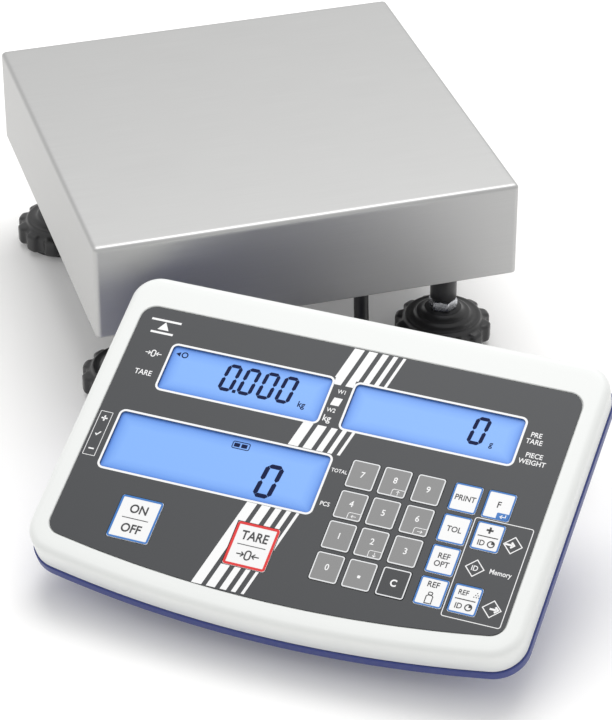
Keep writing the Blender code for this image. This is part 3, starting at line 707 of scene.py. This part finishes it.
def case_ring(inset, height):
    """The case's outline drawn in by inset on all sides, at a height from the face."""
    return level_ring(bowed(CASE_HALF - inset, CASE_BACK - inset, CASE_FRONT + inset,
                            CASE_BOW - inset, max(CASE_BACK_R - inset, LEAST_R),
                            max(CASE_FRONT_R - inset, LEAST_R)), height)


def foil_ring(grow, height):
    """The foil's outline let out by grow on all sides, at a height from the face."""
    return level_ring(bowed(FOIL_HALF + grow, grow, FOIL_FRONT - grow, FOIL_BOW + grow,
                            FOIL_R + grow, FOIL_R + grow), height)


# The rim's section is a quarter of an ellipse from the upright wall to the flat margin.
quarter_turn = np.linspace(0.0, math.pi / 2, 9)
RIM_IN, RIM_DOWN = 0.0040, 0.0036
rings = [foil_ring(-0.0040, -0.0032), case_ring(0.0050, -0.0032), case_ring(WALL, -0.0052),
         case_ring(WALL, SPLIT + 0.0003), case_ring(0.0002, SPLIT + 0.0003),
         case_ring(0.0, SPLIT + 0.0006)]
rings += [case_ring(RIM_IN * (1 - math.cos(t)), -RIM_DOWN * (1 - math.sin(t)))
          for t in quarter_turn]
rings += [case_ring(0.0072, 0.0), foil_ring(0.0008, 0.0), foil_ring(0.0004, -0.0004),
          foil_ring(0.0004, -0.0010), foil_ring(-0.0040, -0.0010)]
white_shell = finish("white_shell", (0.84, 0.855, 0.84), 0.42, grain=2600.0, bump=0.12,
                     depth=0.00006, shade=0.012, sway=0.05)
piece("white_top_shell", [faced(surface(rings, loop=True), white_shell)],
      ("top_shell",), crease=40.0)


def wedge(inset):
    """The wedge's outline seen from above, drawn in by inset on all sides."""
    radius = max(WEDGE_R - inset, LEAST_R)
    return bowed(WEDGE_HALF - inset, WEDGE_BACK - inset, WEDGE_FRONT + inset, WEDGE_BOW,
                 radius, radius)


def neck_ring(inset, depth):
    """The wedge's outline where its upright walls meet a plane below the face: its
    distance back, plus the depth's own lean, is stretched by the tilt's cosine."""
    flat = wedge(inset)
    along = (flat[:, 1] + depth * math.sin(FACE_TILT)) / math.cos(FACE_TILT)
    return np.column_stack((flat[:, 0], along, np.full(len(flat), depth)))


def foot_ring(inset, height):
    """The wedge's outline at a height above the bench, as seen from the face."""
    spots = on_stand(level_ring(wedge(inset), height))
    return (spots - face_origin) @ face_axes.T


FLOOR = RUBBER + 0.0003
round_lip = np.linspace(0.0, math.pi / 2, 6)
LIP_R = 0.0012
NECK_R = 0.0030
rings = [foot_ring(WALL, FLOOR + WALL), neck_ring(WALL, LIP_BOTTOM + WALL),
         case_ring(WALL + 0.0012, LIP_BOTTOM + WALL), case_ring(WALL, LIP_BOTTOM + 0.0034),
         case_ring(WALL, SPLIT), case_ring(-0.0004, SPLIT),
         case_ring(-0.0008, SPLIT - 0.0003)]
rings += [case_ring(-0.0008 + LIP_R * (1 - math.cos(t)),
                    LIP_BOTTOM + LIP_R * (1 - math.sin(t))) for t in round_lip]
rings += [neck_ring(-NECK_R * (1 - math.sin(t)), LIP_BOTTOM - NECK_R * (1 - math.cos(t)))
          for t in round_lip]
rings += [foot_ring(0.0, FLOOR + 0.0012), foot_ring(0.0004, FLOOR + 0.0004),
          foot_ring(0.0012, FLOOR)]
blue_shell = finish("blue_shell", (0.036, 0.052, 0.22), 0.42, grain=2600.0, bump=0.15,
                    depth=0.00006, shade=0.03, sway=0.05)
piece("blue_bottom_shell", [faced(surface(rings), blue_shell)],
      ("bottom_shell",), crease=30.0)

strip_rubber = finish("strip_rubber", (0.025, 0.025, 0.026), 0.75, grain=1200.0,
                      bump=0.3, shade=0.15)
STRIP_MID = (0.086, -0.058)
STRIP_SIZE = (0.010, 0.090)
for side, x in (("left", -STRIP_MID[0]), ("right", STRIP_MID[0])):
    points, faces = rounded_block(
        *STRIP_SIZE, 0.0048, ((0.0006, 0.0), (0.0, 0.0006), (0.0, RUBBER - 0.0004),
                              (0.0004, RUBBER)), (x, STRIP_MID[1]), 10)
    piece("rubber_strip_" + side, [(on_stand(points), faces, strip_rubber)],
          ("display_foot_" + side,))

# Four pan-head screws in the wedge's underside hold the two shells together.
CASE_SCREW = (0.0034, 0.0016)
piece("case_screws",
      [(*socket_screw(on_stand((x, y, FLOOR - 0.0002)), *CASE_SCREW, down=True), zinc)
       for x in (-0.066, 0.066) for y in (-0.022, -0.092)])


# ---------------------------------------------------------------- rear sockets
# A nine-pin data socket in a steel flange with two hexagon posts, and a round power
# socket with a centre pin, both in the rear wall of the blue wedge.
REAR = WEDGE_BACK + 0.0003        # a hair out of the wall, so that nothing shows through
PORT_MID = (-0.010, 0.020)
JACK_MID = (0.080, 0.016)
black_plastic = finish("socket_black", (0.022, 0.022, 0.024), 0.4, grain=1500.0, bump=0.1,
                       shade=0.12)
pin_gold = finish("pin_gold", (0.83, 0.62, 0.25), 0.25, 1.0)


def facing_back(shape, mid):
    """A shape drawn across and up, with its height as the reach out of the rear wall."""
    spots, sides = shape
    flat = spots[:, [0, 2, 1]] * (-1.0, 1.0, 1.0) + (mid[0], REAR, mid[1])
    return on_stand(flat), sides


SHROUD_TAPER = 9.0                # gain in width for each unit of height


def shield(inset, height):
    """Outline of the socket's shroud: a rounded bar that narrows a little downwards."""
    flat = rounded(0.0175 - 2 * inset, 0.0090 - 2 * inset, 0.0022 - 0.5 * inset)
    flat[:, 0] *= 1.0 + flat[:, 1] * SHROUD_TAPER
    return level_ring(flat, height)


flange = surface([level_ring(rounded(0.031 - draw, 0.0125 - draw, 0.0014), height)
                  for draw, height in ((0.0, 0.0), (0.0, 0.0011), (0.0006, 0.0014))])
shroud, block = (surface([shield(*level) for level in levels]) for levels in (
    ((0.0, 0.0014), (0.0, 0.0058), (0.0002, 0.0060), (0.0006, 0.0060), (0.0008, 0.0056),
     (0.0008, 0.0018)),
    ((0.0010, 0.0015), (0.0010, 0.0050))))
port = [(flange, zinc), (shroud, zinc), (block, black_plastic)]
PIN_GAP = 0.00277
for row, count in ((0.0014, 5), (-0.0014, 4)):
    port += [(turned([(0.0005, 0.0049), (0.0005, 0.0054), (0.0003, 0.0057)],
                     ((k - (count - 1) / 2) * PIN_GAP, row, 0.0), 12), pin_gold)
             for k in range(count)]
port += [(hexagon_nut((across_by, 0.0, 0.0), 0.0054, 0.0014, 0.0060, 48), zinc)
         for across_by in (-0.0125, 0.0125)]
piece("data_socket", [(*facing_back(shape, PORT_MID), look) for shape, look in port],
      ("serial_port",))

jack = turned([(0.0052, 0.0), (0.0052, 0.0029), (0.0048, 0.0034), (0.0033, 0.0034),
               (0.0030, 0.0031), (0.0030, 0.0004)])
pin = turned([(0.0010, 0.0002), (0.0010, 0.0026), (0.0006, 0.0030)], count=16)
piece("power_socket", [(*facing_back(jack, JACK_MID), black_plastic),
                       (*facing_back(pin, JACK_MID), zinc)],
      ("power_jack",))


# ---------------------------------------------------------------- boards and battery
# Two green glass-fibre boards lie under the keypad and in the wedge, over a shrink-
# wrapped rechargeable battery; none of them shows while the case is shut.
board = finish("board_green", (0.02, 0.20, 0.08), 0.4, grain=700.0, bump=0.1, shade=0.15)
dress(board, "keypad_board", "main_board")
dress(finish("battery_wrap", (0.04, 0.18, 0.07), 0.3, grain=300.0, bump=0.15, shade=0.08),
      "battery_pack")


# ---------------------------------------------------------------- keypad foil and its print
# One dark grey polyester foil, printed in white, sits in the top shell's pocket, with
# clear windows over the three displays.  The print is a few hundredths thick.
dress(finish("foil_grey", (0.042, 0.0445, 0.049), 0.46, grain=3200.0, bump=0.10,
             depth=0.00005, shade=0.02, sway=0.05), "keypad_foil")
print_white = finish("print_white", (0.93, 0.93, 0.93), 0.5, bump=0.0, shade=0.01)
print_soft = finish("print_soft", (0.80, 0.81, 0.82), 0.5, bump=0.0, shade=0.01)
INK = 0.00006
CAPITAL = 0.70                    # height of a capital in letters of size 1
LEAST_MITRE = 0.4                 # keeps the point of a sharp corner short
FOIL_PRINT = (FOIL_TOP - 0.00002, FOIL_TOP + INK)


def stroke(line, width, closed=False, levels=FOIL_PRINT):
    """A flat stroke: a line offset to both sides along its corners' mitres, from a low to
    a high level."""
    line = np.asarray(line, float)
    line = line[np.linalg.norm(np.roll(line, -1, 0) - line, axis=1) > 1e-7]
    ahead = np.roll(line, -1, 0) - line
    if not closed:
        ahead[-1] = ahead[-2]
    behind = np.roll(ahead, 1, 0)
    if not closed:
        behind[0] = ahead[0]
    ahead, behind = unit(ahead), unit(behind)
    mitre = unit(ahead + behind)
    mitre = mitre / np.maximum((mitre * ahead).sum(1), LEAST_MITRE)[:, None]
    side = np.column_stack((-mitre[:, 1], mitre[:, 0])) * width / 2
    low, high = levels
    rings = [level_ring(line + sign * side, level)
             for sign, level in ((-1, low), (1, low), (1, high), (-1, high))]
    return surface(np.array(rings).transpose(1, 0, 2), caps=not closed, loop=closed)


def tile(outline, levels=FOIL_PRINT):
    """A flat shape with a level underside and top."""
    return surface([level_ring(np.asarray(outline, float), level) for level in levels])


def lettering(words, height, mid, narrow=0.9, bold=0.012, levels=FOIL_PRINT):
    """Plain lettering made a mesh: words drawn bolder by an offset, scaled to a capital
    height, centred on a point, and set between two levels."""
    text = bpy.data.curves.new("lettering", "FONT")
    text.body = words
    text.align_x = text.align_y = "CENTER"
    text.resolution_u = 4
    text.extrude = 0.5
    text.offset = bold
    carrier = new_object("lettering", text)
    solid = bpy.data.meshes.new_from_object(
        carrier.evaluated_get(bpy.context.evaluated_depsgraph_get()))
    bpy.data.objects.remove(carrier, do_unlink=True)
    spots = column(solid.vertices, "co", 3)
    sides = [list(side.vertices) for side in solid.polygons]
    bpy.data.meshes.remove(solid)
    middle = (spots.min(0) + spots.max(0)) / 2
    flat = (spots[:, :2] - middle[:2]) * (narrow, 1.0) * height / CAPITAL + mid
    level = np.where(spots[:, 2] > 0.0, levels[1], levels[0])
    return np.column_stack((flat, level)), sides


def clip(outline, limit, side):
    """The part of a convex outline to the right of a limit, or to its left for side -1:
    an edge that crosses the limit is cut there by its share."""
    kept = []
    reach = [side * (spot[0] - limit) for spot in outline]
    for k, spot in enumerate(outline):
        after = (k + 1) % len(outline)
        if reach[k] >= 0.0:
            kept.append(spot)
        if reach[k] * reach[after] < 0.0:
            share = reach[k] / (reach[k] - reach[after])
            kept.append(spot + share * (outline[after] - spot))
    return kept


WINDOWS = {"lcd_weight": (-0.0496, -0.0328, 0.0846, 0.0263),
           "lcd_piece_weight": (0.0481, -0.0328, 0.0866, 0.0263),
           "lcd_quantity": (-0.0484, -0.0789, 0.1100, 0.0328)}
FRAME = 0.0011
shapes = [stroke(rounded(width + FRAME, depth + FRAME, 0.0029, 6, (u, v)), FRAME, True)
          for u, v, width, depth in WINDOWS.values()]

# Five slanted stripes of falling width run down the foil, behind windows and keys.
STRIPES = ((-0.0029, 0.0052), (0.0047, 0.0045), (0.0117, 0.0032), (0.0174, 0.0023),
           (0.0224, 0.0015))
SLANT = 0.226
tare_left, tare_right, tare_top, tare_bottom = -0.0254, -0.0030, -0.1072, -0.1318
bands = [((-0.0003, -0.0186), ()), ((-0.0186, -0.0226), ((-0.0065, 0.0040),)),
         ((-0.0470, -0.0611), ()), ((-0.0966, tare_top), ()),
         ((tare_top, tare_bottom), ((-1.0, tare_left), (tare_right, 1.0))),
         ((tare_bottom, -0.1448), ())]
for (top, bottom), gaps in bands:
    for start, width in STRIPES:
        whole = [np.array((start + level * SLANT + across_by, level))
                 for level, across_by in ((top, 0.0), (bottom, 0.0), (bottom, width),
                                          (top, width))]
        for left, right in gaps or ((-1.0, 1.0),):
            part = clip(clip(whole, left, 1), right, -1)
            if len(part) > 2:
                shapes.append(tile(part))
shapes.append(tile([(-0.0034, -0.0300), (-0.0042, -0.0345), (0.0002, -0.0345),
                    (0.0010, -0.0300)]))


def arrow(tip, way, length, width, head=0.0011, levels=FOIL_PRINT):
    """A short shaft and a two-stroke head, as one path out and back."""
    tip, way = np.array(tip, float), np.array(way, float)
    cross = np.array((-way[1], way[0]))
    shaft = [tip - way * length, tip - way * width * 0.5]
    barb = [tip - way * head + cross * head, tip, tip - way * head - cross * head]
    return [stroke(line, width, levels=levels) for line in (shaft, barb)]


def to_zero(mid, size, width, levels=FOIL_PRINT):
    """An arrow in from each side to a nought."""
    x, y = mid
    ring = rounded(size * 0.55, size, size * 0.27, 6, mid)
    marks = [stroke(ring, width * 1.2, True, levels)]
    for side in (-1, 1):
        marks += arrow((x + side * size * 0.45, y), (-side, 0.0), size * 0.75, width,
                       size * 0.28, levels)
    return marks


shapes += to_zero((-0.1006, -0.0270), 0.0036, 0.00045)
shapes += [lettering(words, size, mid) for words, size, mid in (
    ("TARE", 0.0030, (-0.1016, -0.0388)), ("PRE\nTARE", 0.0027, (0.0985, -0.0290)),
    ("PIECE\nWEIGHT", 0.0027, (0.1008, -0.0404)), ("TOTAL", 0.0020, (0.0128, -0.0694)),
    ("PCS", 0.0023, (0.0121, -0.0884)), ("W1", 0.0023, (-0.0010, -0.0262)),
    ("W2", 0.0023, (-0.0026, -0.0374)), ("kg", 0.0036, (-0.0030, -0.0428)))]

# The tolerance strip at the left: an outline with a plus, a tick and a minus.
shapes.append(stroke(rounded(0.0063, 0.0256, 0.0002, 1, (-0.1105, -0.0780)), 0.0003, True))
shapes += [stroke(line, width) for line, width in (
    (((-0.1121, -0.0690), (-0.1089, -0.0690)), 0.0008),
    (((-0.1105, -0.0706), (-0.1105, -0.0674)), 0.0008),
    (((-0.1117, -0.0781), (-0.1109, -0.0790), (-0.1092, -0.0768)), 0.0006),
    (((-0.1119, -0.0870), (-0.1091, -0.0870)), 0.0008))]

# The memory field at the right: an outline round two keys, and three diamonds.
shapes.append(stroke(rounded(0.0286, 0.0542, 0.0012, 4, (0.0985, -0.1046)), 0.0004, True))
DIAMOND = 0.0045
shapes += [stroke([(u - DIAMOND, v), (u, v - DIAMOND), (u + DIAMOND, v), (u, v + DIAMOND)],
                  0.0005, True)
           for u, v in ((0.0920, -0.1040), (0.1056, -0.0880), (0.1062, -0.1228))]
shapes += arrow((0.1062, -0.0880), (1.0, 0.0), 0.0044, 0.0010, 0.0015)
shapes += arrow((0.1092, -0.1228), (1.0, 0.0), 0.0040, 0.0010, 0.0015)
shapes.append(lettering("ID", 0.0027, (0.0920, -0.1040)))
shapes.append(lettering("Memory", 0.0026, (0.1046, -0.1042), 0.85))

# A plain balance mark stands at the top left: a beam on a pointed foot over a base bar.
shapes.append(stroke([(-0.1090, -0.0072), (-0.0930, -0.0072)], 0.0012))
shapes.append(tile([(-0.1010, -0.0080), (-0.1040, -0.0128), (-0.0980, -0.0128)]))
shapes.append(stroke([(-0.1070, -0.0146), (-0.0950, -0.0146)], 0.0012))
piece("foil_print", [faced(shape, print_white) for shape in shapes],
      crease=20.0)


# ---------------------------------------------------------------- the three displays
# Each is a backlit blue panel just under its window.  Its colour and glow grow darker
# towards the
# edges: partly the backlight's real falloff, partly painted shade of the window's recess.
# The figures are dark seven-part segments in the glass.
PANEL_TOP = -0.0013
SEGMENT_PRINT = (PANEL_TOP + 0.00008, PANEL_TOP + 0.00014)
# Shares of the panel's brightness by distance from its edge: the backlight's falloff plus
# painted shade of the recess.
EDGE_STEPS = ((0.0002, 0.0), (0.0010, 0.22), (0.0022, 0.45), (0.0042, 0.72), (0.0085, 1.0))

blue_light = bpy.data.materials.new("display_blue")
blue_light.use_nodes = True
tree = blue_light.node_tree
shader = set_sockets(shader_of(blue_light), Roughness=0.22, Specular_IOR_Level=0.2,
                     Emission_Strength=0.32)
# This share darkens the panel's base and emission colour at its edges, with painted recess
# shade.
edge_falloff_and_shade = tree.nodes.new("ShaderNodeAttribute")
edge_falloff_and_shade.attribute_name = "falloff_and_shade_share"
place = tree.nodes.new("ShaderNodeTexCoord")
cloud = set_sockets(tree.nodes.new("ShaderNodeTexNoise"), Scale=45.0)
level = tree.nodes.new("ShaderNodeMath")
level.operation = "MULTIPLY_ADD"
level.inputs[1].default_value = 0.16
tones = tree.nodes.new("ShaderNodeValToRGB")
tones.color_ramp.elements[0].color = (0.055, 0.14, 0.42, 1.0)
tones.color_ramp.elements[1].color = (0.19, 0.36, 0.74, 1.0)
tones.color_ramp.elements.new(0.45).color = (0.125, 0.27, 0.66, 1.0)
for start, end in ((place.outputs["Object"], cloud.inputs["Vector"]),
                   (cloud.outputs["Fac"], level.inputs[0]),
                   (edge_falloff_and_shade.outputs["Fac"], level.inputs[2]),
                   (level.outputs["Value"], tones.inputs["Fac"]),
                   (tones.outputs["Color"], shader.inputs["Base Color"]),
                   (tones.outputs["Color"], shader.inputs["Emission Color"])):
    tree.links.new(start, end)

segment_ink = finish("segment_ink", (0.002, 0.008, 0.055), 0.6, bump=0.0)
set_sockets(shader_of(segment_ink), Specular_IOR_Level=0.15)
window_wall = finish("window_wall", (0.16, 0.30, 0.60), 0.6, bump=0.0)
glass_tile, glass_line, glass_words = (partial(shape, levels=SEGMENT_PRINT)
                                       for shape in (tile, stroke, lettering))
BAR_GAP = 0.00012


def nought(mid, width, height, bar=0.0019, lean=0.10):
    """The six outer bars of a seven-part figure: each is a bar with pointed ends, and the
    whole figure leans to the right by lean times its height."""
    x, y = width / 2 - bar / 2, height / 2 - bar / 2
    knots = np.array(((-x, y), (x, y), (x, 0.0), (x, -y), (-x, -y), (-x, 0.0), (-x, y)))
    bars = []
    for start, end in zip(knots, knots[1:]):
        way = unit(end - start)
        cross = np.array((-way[1], way[0])) * bar / 2
        start, end = start + way * BAR_GAP, end - way * BAR_GAP
        near, far = start + way * bar / 2, end - way * bar / 2
        outline = np.array((start, near - cross, far - cross, end, far + cross,
                            near + cross))
        outline[:, 0] += outline[:, 1] * lean
        bars.append(glass_tile(outline + mid))
    return bars


figures = {
    "lcd_weight": [mark for k in range(4)
                   for mark in nought((-0.0580 + 0.0100 * k, -0.0310), 0.0077, 0.0160)]
    + [glass_tile(rounded(0.0018, 0.0018, 0.0003, 2, (-0.0536, -0.0381))),
       glass_words("kg", 0.0034, (-0.0182, -0.0378)),
       glass_tile([(-0.0897, -0.0238), (-0.0874, -0.0251), (-0.0874, -0.0225)]),
       glass_line(rounded(0.0029, 0.0029, 0.00145, 6, (-0.0850, -0.0238)), 0.0006, True)],
    "lcd_piece_weight": nought((0.0708, -0.0308), 0.0077, 0.0160)
    + [glass_words("g", 0.0032, (0.0786, -0.0375))],
    "lcd_quantity": nought((-0.0190, -0.0828), 0.0094, 0.0192, 0.0023)
    + [glass_line(rounded(0.0088, 0.0038, 0.0008, 3, (-0.0390, -0.0670)), 0.0004, True)]
    + [glass_tile(rounded(0.0030, 0.0021, 0.0002, 2, (x, -0.0670)))
       for x in (-0.0411, -0.0373)]}

PANEL_STEP = 0.00006              # the panel's light layer above its own top
SURROUND_TOP = -0.00075
SURROUND = 0.0006                 # the wall's thickness round a window
PANEL_UNDER = -0.0040
WINDOW_R = 0.0022
for node, (u, v, width, depth) in WINDOWS.items():
    levels = [(EDGE_STEPS[0][0], PANEL_UNDER)]
    levels += [(draw, PANEL_TOP + PANEL_STEP) for draw, _ in EDGE_STEPS]
    block = rounded_block(width, depth, WINDOW_R, levels, (u, v))
    panel = piece(node + "_panel", [faced(block, blue_light)],
                  (node,))
    # Each point's share of full brightness, from its distance to the window's edge, painted
    # shade included.
    flat = (column(panel.data.vertices, "co", 3) - face_origin) @ face_axes.T
    flat = np.abs(flat - (u, v, 0.0))
    reach = np.minimum(width / 2 - flat[:, 0], depth / 2 - flat[:, 1])
    falloff_and_shade_share = np.interp(reach, *zip(*EDGE_STEPS))
    panel.data.attributes.new("falloff_and_shade_share", "FLOAT", "POINT").data.foreach_set("value", falloff_and_shade_share)
    piece(node + "_figures", [faced(shape, segment_ink) for shape in figures[node]],
          crease=20.0)
    levels = ((0.0, SURROUND_TOP), (0.0, PANEL_TOP), (-SURROUND, PANEL_TOP),
              (-SURROUND, SURROUND_TOP))
    frame_round = rounded_block(width, depth, WINDOW_R, levels, (u, v), loop=True)
    piece(node + "_surround", [faced(frame_round, window_wall)])


# ---------------------------------------------------------------- keys
# Every key is a rigid printed cap that moves with the foil over its dome: grey number
# caps with a pale edge, and white function caps with a blue or red edge.
cap_grey, cap_dark, cap_white = (
    finish(name, color, rough, grain=2600.0, bump=0.08, depth=0.00005, shade=shade)
    for name, color, rough, shade in (("cap_grey", (0.245, 0.245, 0.245), 0.42, 0.02),
                                      ("cap_dark", (0.034, 0.036, 0.040), 0.46, 0.02),
                                      ("cap_white", (0.90, 0.90, 0.90), 0.42, 0.01)))
ink_blue = finish("ink_blue", (0.028, 0.178, 0.53), 0.45, bump=0.0)
ink_red = finish("ink_red", (0.74, 0.012, 0.012), 0.45, bump=0.0)
ink_black = finish("ink_black", (0.035, 0.035, 0.037), 0.45, bump=0.0)
CAP_PRINT = (-0.00002, INK)
TAB_PRINT = (INK * 0.5, INK * 1.6)
CAP_LOW = -0.0019
CAP_LEVELS = ((0.0, CAP_LOW), (0.0, -0.00025), (0.00006, -0.00010), (0.00020, 0.0))
CAP_R = 0.0012
CAP_GAP = 0.0002                  # from the cap's edge to its printed border
SMALL = (0.0139, 0.0154)
LARGE = (0.0216, 0.0239)
cap_tile, cap_line, cap_words, cap_arrow, cap_zero = (
    partial(shape, levels=CAP_PRINT) for shape in (tile, stroke, lettering, arrow, to_zero))


def rule(half, width=0.0005):
    """A level line across the middle of a cap."""
    return cap_line([(-half, 0.0), (half, 0.0)], width)


def corner_arrow(way):
    """A small outlined corner box with an arrow, at the foot of a number cap."""
    reach = 0.0012
    tip = (0.0032 + way[0] * reach, -0.0054 + way[1] * reach)
    return [cap_line([(0.0066, -0.0035), (0.0008, -0.0035), (0.0002, -0.0041),
                      (0.0002, -0.0073)], 0.0003),
            *cap_arrow(tip, way, 2 * reach, 0.0003, 0.0008)]


def pie(mid, radius):
    """A ring with its top right quarter filled."""
    turn = np.linspace(0.0, math.pi / 2, 7)
    filled = np.vstack(((0.0, 0.0), np.column_stack((np.cos(turn), np.sin(turn)))))
    return [cap_line(rounded(2 * radius, 2 * radius, radius, 6, mid), radius * 0.35, True),
            cap_tile(filled * radius + mid)]


def ident():
    """A rule with ID and a part-filled ring under it."""
    return [rule(0.0050), cap_words("ID", 0.0029, (-0.0022, -0.0036)),
            *pie((0.0026, -0.0036), 0.0016)]


legends = {"key_" + digit: [cap_words(digit, 0.0033, (0.0, 0.0002))]
           for digit in "795130"}
for digit, way in (("8", (0.0, 1.0)), ("4", (-1.0, 0.0)), ("6", (1.0, 0.0)),
                   ("2", (0.0, -1.0))):
    legends["key_" + digit] = [cap_words(digit, 0.0033, (0.0, 0.0012)), *corner_arrow(way)]
DOTS = ((0.0046, 0.0046), (0.0040, 0.0035), (0.0052, 0.0035), (0.0034, 0.0024),
        (0.0046, 0.0024), (0.0058, 0.0024))
WEIGHT = ((-0.0008, -0.0018), (-0.0016, -0.0024), (-0.0016, -0.0062), (0.0016, -0.0062),
          (0.0016, -0.0024), (0.0008, -0.0018))
legends.update({
    "key_point": [cap_tile(rounded(0.0015, 0.0015, 0.0003, 3, (0.0, -0.0010)))],
    "key_clear": [cap_words("C", 0.0036, (0.0, 0.0), bold=0.03)],
    "key_print": [cap_words("PRINT", 0.0030, (0.0, 0.0), 0.88)],
    "key_tolerance": [cap_words("TOL", 0.0030, (0.0, 0.0))],
    "key_ref_optimise": [cap_words("REF\nOPT", 0.0030, (0.0, 0.0))],
    "key_ref_weight": [
        cap_words("REF", 0.0030, (0.0, 0.0040)), cap_line(WEIGHT, 0.00045, True),
        cap_line(rounded(0.0020, 0.0015, 0.0006, 4, (0.0, -0.0009)), 0.00045, True)],
    "key_id_plus": [cap_line([(-0.0017, 0.0036), (0.0017, 0.0036)], 0.0010),
                    cap_line([(0.0, 0.0019), (0.0, 0.0053)], 0.0010), *ident()],
    "key_id_ref": [cap_words("REF", 0.0027, (-0.0018, 0.0036), 0.85), *ident(),
                   *(cap_tile(rounded(0.0006, 0.0006, 0.0003, 2, dot)) for dot in DOTS)],
    "key_on_off": [cap_words("ON", 0.0046, (0.0, 0.0054), bold=0.02), rule(0.0068, 0.0004),
                   cap_words("OFF", 0.0046, (0.0, -0.0054), bold=0.02)],
    "key_tare": [cap_words("TARE", 0.0048, (0.0, 0.0052), 0.84, 0.02),
                 rule(0.0072, 0.0004), *cap_zero((0.0, -0.0052), 0.0048, 0.0006)],
    "key_function": [cap_words("F", 0.0034, (0.0, 0.0006))]})

for name, marks in legends.items():
    u, v, _ = face_axes @ (sum(corners(name)) / 2 - face_origin)
    large = name in ("key_on_off", "key_tare")
    number = name[4:] in "0123456789" or name == "key_point"
    dark = number or name == "key_clear"
    width, depth = LARGE if large else SMALL
    body_look = cap_grey if number else cap_dark if dark else cap_white
    edge_look = ink_red if name == "key_tare" else print_soft if dark else ink_blue
    mark_look = print_white if dark else ink_black
    edge = (0.0013 if name == "key_tare" else 0.0010 if large else 0.0006 if dark
            else 0.0008)
    cap = rounded_block(width, depth, CAP_R, CAP_LEVELS)
    border = cap_line(rounded(width - edge - CAP_GAP, depth - edge - CAP_GAP,
                              CAP_R - edge / 4, 6), edge, True)
    shapes = [(*cap, body_look), (*border, edge_look)]
    shapes += [(*mark, mark_look) for mark in marks]
    if name == "key_function":
        tab = cap_tile(rounded(0.0062, 0.0034, 0.0006, 4, (0.0034, -0.0053)))
        shapes.append((*tab, ink_blue))
        shapes += [(*stroke(line, 0.0004, levels=TAB_PRINT), print_white) for line in (
            ((0.0048, -0.0042), (0.0048, -0.0056), (0.0022, -0.0056)),
            ((0.0032, -0.0047), (0.0022, -0.0056), (0.0032, -0.0065)))]
    piece(name + "_cap", [faced(shape, look, (u, v, 0.0)) for *shape, look in shapes],
          (name,),
          crease=20.0, body=name)


low, high = cad_box
